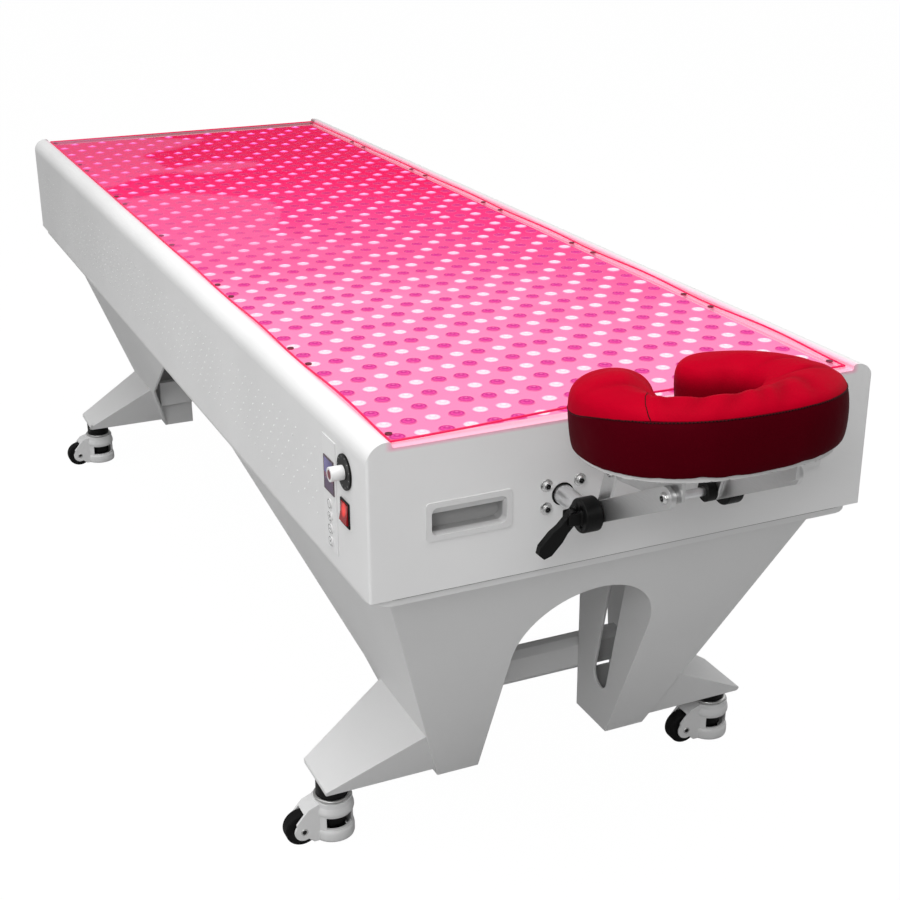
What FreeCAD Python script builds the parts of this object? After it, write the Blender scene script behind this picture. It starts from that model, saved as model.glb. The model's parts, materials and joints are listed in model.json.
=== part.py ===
import FreeCAD, Part
import math
import os
import re

Vec = FreeCAD.Vector
doc = FreeCAD.newDocument("red_light_bed")

# Driving sizes in millimetres (slopes are plain ratios, angles are degrees).
# X runs across the bed, +Y from the head end to the foot end, Z up from the floor.
SIZES = [
    ("bed_width", 700, "housing across X"),
    ("bed_length", 2086, "housing along Y"),
    ("housing_height", 198, "seam to rail crest"),
    ("seam_z", 500, "housing underside above the floor"),
    ("housing_wall", 8, "moulded wall"),
    ("flange_width", 40, "inward flange round the housing mouth"),
    ("flange_thick", 6, "thickness of that flange"),
    ("rail_width", 31, "raised rail along each long side"),
    ("rail_radius", 25, "outer rounding of the rails"),
    ("end_radius", 4, "upright corner rounding"),
    ("rail_flat", 0.16, "flat left on half of the rail's inner side"),
    ("deck_drop", 8, "deck below the rail crest"),
    ("deck_thick", 4, "deck under the clear sheet"),
    ("window_ledge", 4, "deck under each long edge of the clear sheet"),
    ("window_margin", 20, "deck left at each end"),
    ("tray_inset", 5, "tray edge in from the housing"),
    ("tray_height", 12, "tray thickness"),
    ("tray_corner", 32, "tray corner radius"),
    ("sheet_clear", 4, "clear sheet to the rail"),
    ("sheet_margin", 13, "clear sheet in from each end"),
    ("sheet_thick", 4, "clear sheet thickness"),
    ("screw_radius", 4.5, "sheet screw head"),
    ("screw_height", 1.6, "sheet screw head height"),
    ("screw_inset", 7, "sheet screw in from the sheet edge"),
    ("screw_play", 0.2, "clearance round a sheet screw head"),
    ("screw_spread", 36, "screw on each side of a board joint"),
    ("section_count", 6, "sheet sections along the bed"),
    ("plate_inset", 25, "reflector plate in from the housing side"),
    ("plate_thick", 2, "reflector plate thickness"),
    ("board_margin", 5, "light boards in from the sheet edge"),
    ("board_gap", 4, "gap between light boards across X"),
    ("board_end", 25.5, "light boards in from each bed end"),
    ("board_row_gap", 15, "gap between the two banks of boards"),
    ("board_thick", 2, "light board thickness"),
    ("driver_width", 115, "driver box across X"),
    ("driver_length", 215, "driver box along Y"),
    ("driver_height", 50, "driver box height"),
    ("driver_x", 160, "driver box centre from the middle"),
    ("driver_y", 520, "driver box centre from mid-length"),
    ("handle_inset", 127, "pull handle centre in from the housing side"),
    ("handle_z", 590, "pull handle centre height"),
    ("handle_width", 111, "pull handle rim width"),
    ("handle_height", 49, "pull handle rim height"),
    ("handle_rim", 5, "rim overlap on the wall"),
    ("handle_proud", 1.6, "rim thickness on the wall"),
    ("handle_depth", 26, "cup depth behind the wall face"),
    ("handle_wall", 2, "cup wall"),
    ("handle_corner", 8, "inner corner radius of the cup"),
    ("lip_drop", 11, "finger lip hangs down in the cup"),
    ("lip_deep", 9, "finger lip slopes in behind the wall face"),
    ("lip_thick", 2, "finger lip thickness"),
    ("overlay_y", 122, "control overlay centre from the head end"),
    ("overlay_z", 592, "control overlay centre height"),
    ("overlay_width", 44, "overlay along Y"),
    ("overlay_height", 146, "overlay height"),
    ("overlay_thick", 1.2, "overlay thickness"),
    ("screen_z", 617, "display centre height"),
    ("screen_width", 34, "display along Y"),
    ("screen_height", 44, "display height"),
    ("screen_thick", 1, "display lens thickness"),
    ("button_z", 580, "top button height"),
    ("button_pitch", 16.5, "button spacing"),
    ("button_radius", 6.5, "button radius"),
    ("button_proud", 1.6, "button above the overlay"),
    ("button_tail", 3, "button length inside the wall"),
    ("button_play", 0.35, "clearance round a button"),
    ("dial_y", 69, "dial centre from the head end"),
    ("dial_z", 641, "dial centre height"),
    ("dial_radius", 22, "dial plate radius"),
    ("dial_thick", 2.5, "dial plate thickness"),
    ("knob_radius", 9, "knob radius"),
    ("knob_length", 17, "knob length"),
    ("knob_gap", 0.4, "knob clear of its plate"),
    ("shaft_radius", 3, "knob shaft radius"),
    ("shaft_play", 0.05, "knob shaft running clearance"),
    ("shaft_tail", 12, "shaft length inside the wall face"),
    ("rocker_y", 71, "rocker centre from the head end"),
    ("rocker_z", 588, "rocker centre height"),
    ("bezel_width", 28, "rocker bezel along Y"),
    ("bezel_height", 32, "rocker bezel height"),
    ("bezel_thick", 2, "rocker bezel thickness"),
    ("bezel_rim", 2.2, "rocker bezel frame width"),
    ("rocker_play", 0.7, "clearance round the rocker"),
    ("rocker_pivot", 2, "rocker pivot behind the wall face"),
    ("rocker_depth", 6, "rocker body behind the wall face"),
    ("rocker_low", 5.4, "lower edge of the rocker stands out"),
    ("rocker_mid", 3, "ridge of the rocker stands out"),
    ("rocker_high", 2, "upper edge of the rocker stands out"),
    ("inlet_x", 180, "power inlet from the middle"),
    ("inlet_z", 545, "power inlet height"),
    ("inlet_width", 50, "inlet flange width"),
    ("inlet_height", 30, "inlet flange height"),
    ("inlet_proud", 3, "inlet flange thickness"),
    ("inlet_rim", 6, "inlet flange overlap"),
    ("inlet_depth", 24, "inlet body depth"),
    ("inlet_wall", 3, "inlet body wall"),
    ("post_x", 94, "cradle post from the middle"),
    ("post_z", 595, "cradle post height"),
    ("post_radius", 12.5, "cradle post radius"),
    ("post_play", 0.08, "post running clearance"),
    ("post_reach", 46, "post in front of the head end"),
    ("post_insert", 90, "post inside its socket"),
    ("socket_radius", 14.5, "socket tube radius"),
    ("socket_depth", 125, "socket tube behind the wall face"),
    ("socket_proud", 0.8, "socket collar in front of the wall"),
    ("washer_radius", 8, "socket screw washer"),
    ("washer_thick", 1.5, "washer thickness"),
    ("cap_radius", 5, "socket screw head"),
    ("cap_height", 4.5, "socket screw head height"),
    ("cap_dx", 22.5, "socket screw from the post, across"),
    ("cap_dz", 15, "socket screw from the post, up"),
    ("axis_out", 65, "cradle pivot in front of the head end"),
    ("hub_radius", 21, "clamp hub radius"),
    ("hub_length", 22, "clamp hub along X"),
    ("hub_x", 97, "clamp hub centre from the middle"),
    ("lug_thick", 4, "cam lug thickness"),
    ("lug_reach", 17, "cam lug out from the hub"),
    ("lug_height", 16, "cam lug height"),
    ("rod_radius", 5.5, "tie rod radius"),
    ("rod_play", 0.06, "running clearance on the tie rod"),
    ("spacer_radius", 13, "tie rod spacer radius"),
    ("spacer_length", 12, "tie rod spacer length"),
    ("lever_thick", 10, "cam lever thickness"),
    ("lever_length", 58, "cam lever length"),
    ("lever_width", 20, "cam lever paddle width"),
    ("lever_boss", 8.5, "cam lever boss radius"),
    ("lever_neck", 7.6, "cam lever neck half width"),
    ("lever_waist", 17, "end of the neck from the pin"),
    ("lever_shoulder", 29, "start of the paddle from the pin"),
    ("lever_toe", 9, "paddle corner height at its tip"),
    ("lever_tip", 5, "paddle tip half width"),
    ("lever_pin", 2.5, "cam lever pin radius"),
    ("lever_out", 9.5, "cam lever pin out from the hub"),
    ("arm_x", 79, "inner face of the arm from the middle"),
    ("arm_thick", 6, "arm thickness"),
    ("arm_radius", 13, "arm half width"),
    ("arm_run", 143, "arm pivot to pivot, forward"),
    ("arm_rise", 75, "arm pivot to pivot, up"),
    ("strut_run", 19, "strut top forward of the pivot"),
    ("strut_rise", 58, "strut top above the pivot"),
    ("strut_radius", 9, "pivot boss radius"),
    ("strut_half", 11, "strut half width"),
    ("bracket_thick", 4, "bracket plate thickness"),
    ("bracket_front", 226, "bracket front in front of the head end"),
    ("bracket_back", 66, "bracket back in front of the head end"),
    ("pivot_radius", 7, "pivot screw head radius"),
    ("pivot_height", 4, "pivot screw head height"),
    ("platform_z", 686, "platform underside at the cushion centre"),
    ("platform_thick", 8, "platform thickness"),
    ("platform_inset", 14, "platform edge in from the cushion"),
    ("platform_show", 5, "platform left in sight below the cushion"),
    ("cushion_play", 0.4, "cushion recess clear of the platform edge"),
    ("cradle_reach", 270, "cushion front in front of the head end"),
    ("cradle_x", -6, "cradle centre line from the middle"),
    ("cushion_x", 5, "cushion centre from the middle"),
    ("lever_angle", 44, "cam lever out from hanging straight"),
    ("cradle_tilt", 6.3, "cushion leans, front edge up"),
    ("cushion_turn", 14, "opening turned towards the left"),
    ("cushion_square", 2.5, "squareness of the cushion outline"),
    ("cushion_half", 47, "cushion band half width"),
    ("cushion_wide", 110, "band centre line half width"),
    ("cushion_deep", 85, "band centre line half depth"),
    ("cushion_gap", 43, "half angle left open towards the bed"),
    ("cushion_height", 79, "cushion height with its crown"),
    ("skirt_inset", 32, "skirt in from the housing side"),
    ("skirt_slope", 0.353, "skirt draws in per height"),
    ("skirt_reach", 1000, "skirt tip from the bed end"),
    ("skirt_tip", 10, "skirt height at its tip"),
    ("bend_y", 400, "bend of the skirt edge from the bed end"),
    ("bend_z", 196, "height of that bend"),
    ("panel_setback", 38, "top of the end panel from the bed end"),
    ("panel_slope", 0.453, "end panel leans in per height"),
    ("panel_thick", 5, "trestle sheet thickness"),
    ("leg_inner", 105, "inner leg plate from the middle"),
    ("leg_back", 312, "back of the legs from the bed end"),
    ("leg_z", 80, "underside of the legs"),
    ("leg_cover", 140, "top of the leg back plate"),
    ("arch_z", 311, "arch centre height"),
    ("arch_radius", 105, "arch radius"),
    ("slot_radius", 19, "leg plate slot half width"),
    ("slot_low_y", 244, "slot lower centre from the bed end"),
    ("slot_low_z", 165, "slot lower centre height"),
    ("slot_high_y", 192, "slot upper centre from the bed end"),
    ("slot_high_z", 390, "slot upper centre height"),
    ("top_depth", 330, "trestle top plate from the bed end"),
    ("foot_z", 94, "underside of the outriggers"),
    ("foot_inset", 10, "outrigger tip in from the housing side"),
    ("foot_back", 309, "outrigger back from the bed end"),
    ("foot_step", 4, "outrigger front behind the end panel"),
    ("foot_tip", 8, "outrigger tip height"),
    ("tip_round", 3.6, "rounding of the outrigger tip"),
    ("ridge_front_z", 178, "outrigger ridge at the end panel"),
    ("ridge_back_y", 348, "outrigger ridge back from the bed end"),
    ("ridge_back_z", 184, "outrigger ridge height at its back"),
    ("beam_clear", 2.5, "stretcher end to the skirt"),
    ("beam_depth", 26, "stretcher along Y"),
    ("beam_z", 137, "stretcher underside"),
    ("beam_height", 55, "stretcher height"),
    ("beam_bevel", 10, "stretcher front bevel"),
    ("bolt_radius", 8, "frame bolt head across corners / 2"),
    ("bolt_height", 5, "frame bolt head height"),
    ("bolt_dx", 230, "outer frame bolts from the middle"),
    ("bolt_near", 90, "frame bolts from the bed end"),
    ("bolt_far", 290, "rear frame bolts from the bed end"),
    ("caster_inset", 34, "swivel axis in from the housing side"),
    ("caster_y", 263, "swivel axis from the bed end"),
    ("caster_trail", 48, "wheel axle behind the swivel axis"),
    ("caster_top", 66, "top of the swivel body"),
    ("swivel_gap", 0.3, "swivel body clear of its mount"),
    ("mount_radius", 23, "caster mount radius"),
    ("wheel_radius", 25, "wheel radius"),
    ("wheel_width", 20, "wheel width"),
    ("wheel_edge", 3, "wheel edge rounding"),
    ("wheel_room", 2, "pocket clear of the wheel"),
    ("axle_radius", 4, "wheel axle radius"),
    ("axle_play", 0.05, "axle running clearance"),
    ("fork_half", 16, "fork half width"),
    ("cheek_radius", 14, "fork end radius"),
    ("guard_back", 11, "wheel guard behind the axle, top"),
    ("guard_low", 8.4, "wheel guard behind the axle, bottom"),
    ("ring_radius", 29, "caster ring radius"),
    ("ring_wall", 5, "caster ring wall"),
    ("ring_bottom", 5, "caster ring above the floor"),
    ("cap_underside", 57, "underside of the swivel cap"),
    ("port_low", 25, "adjuster window underside"),
    ("port_high", 43, "adjuster window top"),
    ("port_back", 17, "adjuster window towards the wheel"),
    ("port_front", 22, "adjuster window away from the wheel"),
    ("dial_ring_radius", 19.5, "adjuster ring radius"),
    ("pad_radius", 21, "levelling pad radius"),
    ("pad_clear", 4, "levelling pad above the floor"),
    ("pad_thick", 5, "levelling pad thickness"),
    ("stem_radius", 5, "levelling stem radius"),
    ("stem_play", 0.08, "levelling stem running clearance"),
    ("stem_top", 52, "top of the levelling stem"),
]
dims = doc.addObject("Spreadsheet::Sheet", "Dims")
for row, (alias, value, note) in enumerate(SIZES, start=1):
    dims.set("A%d" % row, alias)
    dims.set("B%d" % row, str(value))
    dims.setAlias("B%d" % row, alias)
    dims.set("C%d" % row, note)
doc.recompute()

# The head-end face, placed so that the whole bed is centred on the origin along Y.
HEAD = "(cradle_reach - bed_length) / 2"
FOOT = "(cradle_reach + bed_length) / 2"
SIDE = "-bed_width / 2"
DECK = "seam_z + housing_height - deck_drop"
SHEET = "(bed_width - 2 * rail_width - 2 * sheet_clear)"
BOARD = "(" + SHEET + " - 2 * board_margin - 3 * board_gap) / 4"
BANK = "(bed_length - 2 * board_end - board_row_gap) / 2"
HANDLE_X = "bed_width / 2 - handle_inset"
CASTER_X = "bed_width / 2 - caster_inset"
ZERO = "0"
NEAR = 0.01
OVER = 2.0
nodes = []


def size(alias):
    """Number held by the sheet under this alias."""
    return float(dims.get(alias))


def rule(text):
    """Write every bare size name in a formula as a reference to the sheet."""
    return re.sub(r"[a-z][a-z_]*", lambda word: "Dims." + word.group(0), text)


def place(obj, x, y, z):
    """Bind the three coordinates of an object to formulas."""
    for letter, text in zip("xyz", (x, y, z)):
        obj.setExpression("Placement.Base." + letter, rule(text))
    return obj


def box(name, along_x, along_y, along_z, x, y, z):
    """Box with bound sizes whose low corner lies at x, y, z."""
    obj = doc.addObject("Part::Box", name)
    for prop, text in zip(("Length", "Width", "Height"), (along_x, along_y, along_z)):
        obj.setExpression(prop, rule(text))
    return place(obj, x, y, z)


TURNS = {"x": (Vec(0, 1, 0), 90), "y": (Vec(1, 0, 0), -90), "z": (Vec(0, 0, 1), 0)}


def rod(name, axis, radius, length, x, y, z):
    """Cylinder with bound sizes that starts at x, y, z and runs along +axis."""
    obj = doc.addObject("Part::Cylinder", name)
    obj.setExpression("Radius", rule(radius))
    obj.setExpression("Height", rule(length))
    turn, angle = TURNS[axis]
    obj.Placement = FreeCAD.Placement(Vec(0, 0, 0), FreeCAD.Rotation(turn, angle))
    return place(obj, x, y, z)


def fuse(name, *members):
    """Union of several objects."""
    obj = doc.addObject("Part::MultiFuse", name)
    obj.Shapes = list(members)
    return obj


def group(name, members):
    """Several separate solids held under one name."""
    obj = doc.addObject("Part::Compound", name)
    obj.Links = list(members)
    return obj


def cut(name, base, *tools):
    """Base with every tool taken away."""
    obj = doc.addObject("Part::Cut", name)
    obj.Base = base
    obj.Tool = tools[0] if len(tools) == 1 else fuse(name + "_tools", *tools)
    return obj


def round_edges(name, base, choices, kind="Part::Fillet"):
    """Fillet or chamfer the edges that each chooser picks, with that chooser's radius."""
    doc.recompute()
    obj = doc.addObject(kind, name)
    obj.Base = base
    picked = []
    for choose, radius in choices:
        for number, edge in enumerate(base.Shape.Edges, start=1):
            if choose(edge):
                picked.append((number, radius, radius))
    obj.Edges = picked
    return obj


def runs_along(edge, letter):
    """True for a straight edge parallel to one axis."""
    if len(edge.Vertexes) < 2:
        return False
    step = edge.Vertexes[1].Point - edge.Vertexes[0].Point
    return abs(abs(getattr(step, letter)) - step.Length) < NEAR


def mirror(name, source, normal, base=Vec(0, 0, 0)):
    """Mirror image of an object about a plane."""
    obj = doc.addObject("Part::Mirroring", name)
    obj.Source = source
    obj.Normal = normal
    obj.Base = base
    return obj


def feature(name, shape):
    """Document object that carries a shape built in code."""
    obj = doc.addObject("Part::Feature", name)
    obj.Shape = shape
    return obj


def node(obj):
    """Mark an object as one named piece of the bed."""
    nodes.append(obj)
    return obj


def slab(points, push):
    """Flat polygon pushed along a vector."""
    return Part.Face(Part.makePolygon(points + [points[0]])).extrude(push)


head = (size("cradle_reach") - size("bed_length")) / 2
foot = (size("cradle_reach") + size("bed_length")) / 2
half = size("bed_width") / 2

# Housing: a box with a lowered deck between two rounded rails, hollow inside.
block = box("housing_block", "bed_width", "bed_length", "housing_height", SIDE, HEAD, "seam_z")
step = box(
    "deck_step",
    "bed_width - 2 * rail_width",
    "bed_length + 2 * tray_inset",
    "deck_drop + 1",
    SIDE + " + rail_width",
    HEAD + " - tray_inset",
    DECK,
)
stepped = cut("housing_stepped", block, step)
crest = size("seam_z") + size("housing_height")
deck = crest - size("deck_drop")
inner = half - size("rail_width")


def long_edge(x, z):
    """Chooser for the edges along Y at a given distance from the middle and height."""

    def choose(edge):
        middle = edge.CenterOfMass
        near = abs(abs(middle.x) - x) < NEAR and abs(middle.z - z) < NEAR
        return near and runs_along(edge, "y")

    return choose


def upright(edge):
    """Chooser for the four outer corners of the housing."""
    return runs_along(edge, "z") and abs(abs(edge.CenterOfMass.x) - half) < NEAR


soft = size("deck_drop") / 2 - size("rail_flat")
rounded = round_edges(
    "housing_rounded",
    stepped,
    [
        (long_edge(half, crest), size("rail_radius")),
        (long_edge(inner, crest), soft),
        (long_edge(inner, deck), soft),
        (upright, size("end_radius")),
    ],
)
cavity = box(
    "housing_cavity",
    "bed_width - 2 * housing_wall",
    "bed_length - 2 * housing_wall",
    "housing_height - deck_drop - deck_thick - flange_thick",
    SIDE + " + housing_wall",
    HEAD + " + housing_wall",
    "seam_z + flange_thick",
)
mouth = box(
    "housing_mouth",
    "bed_width - 2 * flange_width",
    "bed_length - 2 * flange_width",
    "3 * flange_thick",
    SIDE + " + flange_width",
    HEAD + " + flange_width",
    "seam_z - flange_thick",
)
window = box(
    "light_window",
    SHEET + " - 2 * window_ledge",
    "bed_length - 2 * window_margin",
    "3 * deck_thick",
    "window_ledge - " + SHEET + " / 2",
    HEAD + " + window_margin",
    DECK + " - 2 * deck_thick",
)

# Pull handles: moulded cups let into the head end.
CUP_W = "handle_width - 2 * handle_rim"
CUP_H = "handle_height - 2 * handle_rim"
cup_hollow = box(
    "cup_hollow",
    CUP_W + " - 2 * handle_wall",
    "handle_depth + handle_proud",
    CUP_H + " - 2 * handle_wall",
    HANDLE_X + " - handle_width / 2 + handle_rim + handle_wall",
    HEAD + " - handle_proud - handle_wall",
    "handle_z - handle_height / 2 + handle_rim + handle_wall",
)
cup_corner = size("handle_corner")
cup_soft = round_edges(
    "cup_hollow_soft", cup_hollow, [(lambda edge: runs_along(edge, "y"), cup_corner)]
)
cup_rim = box(
    "cup_rim",
    "handle_width",
    "handle_proud",
    "handle_height",
    HANDLE_X + " - handle_width / 2",
    HEAD + " - handle_proud",
    "handle_z - handle_height / 2",
)
cup_rim_soft = round_edges(
    "cup_rim_soft", cup_rim, [(lambda edge: runs_along(edge, "y"), size("handle_rim"))]
)
cup_body = box(
    "cup_body",
    CUP_W,
    "handle_depth",
    CUP_H,
    HANDLE_X + " - handle_width / 2 + handle_rim",
    HEAD,
    "handle_z - handle_height / 2 + handle_rim",
)
cup_shell = cut("cup_shell", fuse("cup_outer", cup_rim_soft, cup_body), cup_soft)
cup_roof = size("handle_z") + size("handle_height") / 2 - size("handle_rim") - size("handle_wall")
lip_side = half - size("handle_inset") - size("handle_width") / 2 + size("handle_rim")
lip_edge = cup_roof - size("lip_drop")
lip_root = cup_roof + size("handle_wall") / 2
lip_line = [
    (head, lip_root),
    (head + size("lip_deep"), lip_edge),
    (head + size("lip_deep") + size("lip_thick"), lip_edge),
    (head + size("lip_thick"), lip_root),
]
lip_wide = size("handle_width") - 2 * size("handle_rim")
finger_lip = feature(
    "finger_lip", slab([Vec(lip_side, y, z) for y, z in lip_line], Vec(lip_wide, 0, 0))
)
cup_right = node(fuse("handle_cup_right", cup_shell, finger_lip))
node(mirror("handle_cup_left", cup_right, Vec(1, 0, 0)))
cup_opening = box(
    "cup_opening",
    CUP_W,
    "3 * housing_wall",
    CUP_H,
    HANDLE_X + " - handle_width / 2 + handle_rim",
    HEAD + " - housing_wall",
    "handle_z - handle_height / 2 + handle_rim",
)
cup_opening_left = mirror("cup_opening_left", cup_opening, Vec(1, 0, 0))

# Sockets that guide the two cradle posts, each held by four screws on washers.
socket_holes = []
caps = []
for hand, sign in (("left", "-"), ("right", "+")):
    post_x = "cradle_x" + sign + "post_x"
    tube = rod(
        "socket_tube_" + hand,
        "y",
        "socket_radius",
        "socket_proud + socket_depth",
        post_x,
        HEAD + " - socket_proud",
        "post_z",
    )
    bore = rod(
        "socket_bore_" + hand,
        "y",
        "post_radius + post_play",
        "2 * socket_depth",
        post_x,
        HEAD + " - socket_depth / 2",
        "post_z",
    )
    node(cut("post_socket_" + hand, tube, bore))
    socket_holes.append(
        rod(
            "socket_hole_" + hand,
            "y",
            "socket_radius",
            "3 * housing_wall",
            post_x,
            HEAD + " - housing_wall",
            "post_z",
        )
    )
    for corner, (dx, dz) in enumerate((("-", "-"), ("-", "+"), ("+", "-"), ("+", "+"))):
        tag = "_%s_%d" % (hand, corner)
        cap_x = post_x + dx + "cap_dx"
        cap_z = "post_z" + dz + "cap_dz"
        washer = rod(
            "washer" + tag,
            "y",
            "washer_radius",
            "washer_thick",
            cap_x,
            HEAD + " - washer_thick",
            cap_z,
        )
        cap = rod(
            "cap" + tag,
            "y",
            "cap_radius",
            "cap_height",
            cap_x,
            HEAD + " - washer_thick - cap_height",
            cap_z,
        )
        caps.append(fuse("socket_screw" + tag, washer, cap))
node(group("socket_screws", caps))

# Controls on the left side near the head end.
OVERLAY_Y = HEAD + " + overlay_y"
overlay_sheet = box(
    "overlay_sheet",
    "overlay_thick",
    "overlay_width",
    "overlay_height",
    SIDE + " - overlay_thick",
    OVERLAY_Y + " - overlay_width / 2",
    "overlay_z - overlay_height / 2",
)
button_holes = []
for number in range(4):
    button_z = "button_z - %d * button_pitch" % number
    node(
        rod(
            "button_%d" % (number + 1),
            "x",
            "button_radius",
            "button_tail + overlay_thick + button_proud",
            SIDE + " - overlay_thick - button_proud",
            OVERLAY_Y,
            button_z,
        )
    )
    button_holes.append(
        rod(
            "button_hole_%d" % (number + 1),
            "x",
            "button_radius + button_play",
            "4 * housing_wall",
            SIDE + " - 2 * housing_wall",
            OVERLAY_Y,
            button_z,
        )
    )
node(cut("control_overlay", overlay_sheet, *button_holes))
node(
    box(
        "display_screen",
        "screen_thick",
        "screen_width",
        "screen_height",
        SIDE + " - overlay_thick - screen_thick",
        OVERLAY_Y + " - screen_width / 2",
        "screen_z - screen_height / 2",
    )
)
DIAL_Y = HEAD + " + dial_y"
dial_disc = rod(
    "dial_disc", "x", "dial_radius", "dial_thick", SIDE + " - dial_thick", DIAL_Y, "dial_z"
)
dial_bore = rod(
    "dial_bore",
    "x",
    "shaft_radius + shaft_play",
    "4 * housing_wall",
    SIDE + " - 2 * housing_wall",
    DIAL_Y,
    "dial_z",
)
node(cut("dial_plate", dial_disc, dial_bore))
knob_grip = rod(
    "knob_grip",
    "x",
    "knob_radius",
    "knob_length",
    SIDE + " - dial_thick - knob_gap - knob_length",
    DIAL_Y,
    "dial_z",
)
knob_shaft = rod(
    "knob_shaft",
    "x",
    "shaft_radius",
    "dial_thick + knob_gap + knob_length / 2 + shaft_tail",
    SIDE + " - dial_thick - knob_gap - knob_length / 2",
    DIAL_Y,
    "dial_z",
)
node(fuse("dial_knob", knob_grip, knob_shaft))
ROCKER_Y = HEAD + " + rocker_y"
bezel_block = box(
    "bezel_block",
    "bezel_thick",
    "bezel_width",
    "bezel_height",
    SIDE + " - bezel_thick",
    ROCKER_Y + " - bezel_width / 2",
    "rocker_z - bezel_height / 2",
)
rocker_hole = box(
    "rocker_hole",
    "4 * housing_wall",
    "bezel_width - 2 * bezel_rim",
    "bezel_height - 2 * bezel_rim",
    SIDE + " - 2 * housing_wall",
    ROCKER_Y + " - bezel_width / 2 + bezel_rim",
    "rocker_z - bezel_height / 2 + bezel_rim",
)
node(cut("rocker_bezel", bezel_block, rocker_hole))
rocker_half_y = size("bezel_width") / 2 - size("bezel_rim") - size("rocker_play")
rocker_half_z = size("bezel_height") / 2 - size("bezel_rim") - size("rocker_play")
rocker_low_y = head + size("rocker_y") - rocker_half_y
rocker_line = [
    (size("rocker_depth"), -rocker_half_z),
    (size("rocker_depth"), rocker_half_z),
    (-size("rocker_high"), rocker_half_z),
    (-size("rocker_mid"), 0),
    (-size("rocker_low"), -rocker_half_z),
]
rocker_points = [Vec(x - half, rocker_low_y, z + size("rocker_z")) for x, z in rocker_line]
rocker_wedge = slab(rocker_points, Vec(0, 2 * rocker_half_y, 0))
rocker_pin = Vec(size("rocker_pivot") - half, rocker_low_y, size("rocker_z"))
rocker_sweep = Part.makeCylinder(rocker_half_z, 2 * rocker_half_y, rocker_pin, Vec(0, 1, 0))
node(feature("rocker_switch", rocker_wedge.common(rocker_sweep)))

# Appliance inlet at the foot end.
inlet_flange = box(
    "inlet_flange",
    "inlet_width",
    "inlet_proud",
    "inlet_height",
    "inlet_x - inlet_width / 2",
    FOOT,
    "inlet_z - inlet_height / 2",
)
inlet_body = box(
    "inlet_body",
    "inlet_width - 2 * inlet_rim",
    "inlet_depth",
    "inlet_height - inlet_rim",
    "inlet_x - inlet_width / 2 + inlet_rim",
    FOOT + " - inlet_depth",
    "inlet_z - inlet_height / 2 + inlet_rim / 2",
)
inlet_recess = box(
    "inlet_recess",
    "inlet_width - 2 * inlet_rim - 2 * inlet_wall",
    "inlet_depth",
    "inlet_height - inlet_rim - 2 * inlet_wall",
    "inlet_x - inlet_width / 2 + inlet_rim + inlet_wall",
    FOOT + " - inlet_depth + 2 * inlet_wall",
    "inlet_z - inlet_height / 2 + inlet_rim / 2 + inlet_wall",
)
inlet_shell = cut("inlet_shell", fuse("inlet_outer", inlet_flange, inlet_body), inlet_recess)
inlet_pins = [
    box(
        "inlet_pin_%d" % number,
        "inlet_wall / 2",
        "inlet_depth / 2",
        "inlet_wall",
        "inlet_x + %d * inlet_rim" % shift,
        FOOT + " - inlet_depth + inlet_wall",
        "inlet_z",
    )
    for number, shift in enumerate((-1, 0, 1))
]
node(fuse("power_inlet", inlet_shell, *inlet_pins))
inlet_opening = box(
    "inlet_opening",
    "inlet_width - 2 * inlet_rim",
    "3 * housing_wall",
    "inlet_height - inlet_rim",
    "inlet_x - inlet_width / 2 + inlet_rim",
    FOOT + " - 2 * housing_wall",
    "inlet_z - inlet_height / 2 + inlet_rim / 2",
)
shaft_hole = rod(
    "shaft_hole",
    "x",
    "2 * shaft_radius",
    "4 * housing_wall",
    SIDE + " - 2 * housing_wall",
    DIAL_Y,
    "dial_z",
)
node(
    cut(
        "housing_shell",
        rounded,
        cavity,
        mouth,
        window,
        cup_opening,
        cup_opening_left,
        rocker_hole,
        shaft_hole,
        inlet_opening,
        *socket_holes,
        *button_holes
    )
)

# Tray that closes the housing from below.
tray_block = box(
    "tray_block",
    "bed_width - 2 * tray_inset",
    "bed_length - 2 * tray_inset",
    "tray_height",
    SIDE + " + tray_inset",
    HEAD + " + tray_inset",
    "seam_z - tray_height",
)
node(
    round_edges(
        "base_tray",
        tray_block,
        [(lambda edge: runs_along(edge, "z"), size("tray_corner"))],
    )
)

# Light deck: clear sheet on the deck, reflector plate under it, boards and drivers.
node(
    box(
        "led_plate",
        "bed_width - 2 * plate_inset",
        "bed_length - 4 * housing_wall",
        "plate_thick",
        SIDE + " + plate_inset",
        HEAD + " + 2 * housing_wall",
        DECK + " - deck_thick - plate_thick",
    )
)
boards = []
for column in (-3, -1, 1, 3):
    for bank in (-1, 1):
        boards.append(
            box(
                "board_%d" % len(boards),
                BOARD,
                BANK,
                "board_thick",
                "%d * (%s + board_gap) / 2 - (%s) / 2" % (column, BOARD, BOARD),
                "cradle_reach / 2 + %d * (%s + board_row_gap) / 2 - (%s) / 2" % (bank, BANK, BANK),
                DECK + " - deck_thick - plate_thick - board_thick",
            )
        )
node(group("led_boards", boards))
drivers = []
for across in (-1, 1):
    for along in (-1, 1):
        drivers.append(
            box(
                "driver_%d" % len(drivers),
                "driver_width",
                "driver_length",
                "driver_height",
                "%d * driver_x - driver_width / 2" % across,
                "cradle_reach / 2 + %d * driver_y - driver_length / 2" % along,
                "seam_z",
            )
        )
node(group("driver_boxes", drivers))
heads = []
recesses = []
joints = int(size("section_count"))
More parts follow.
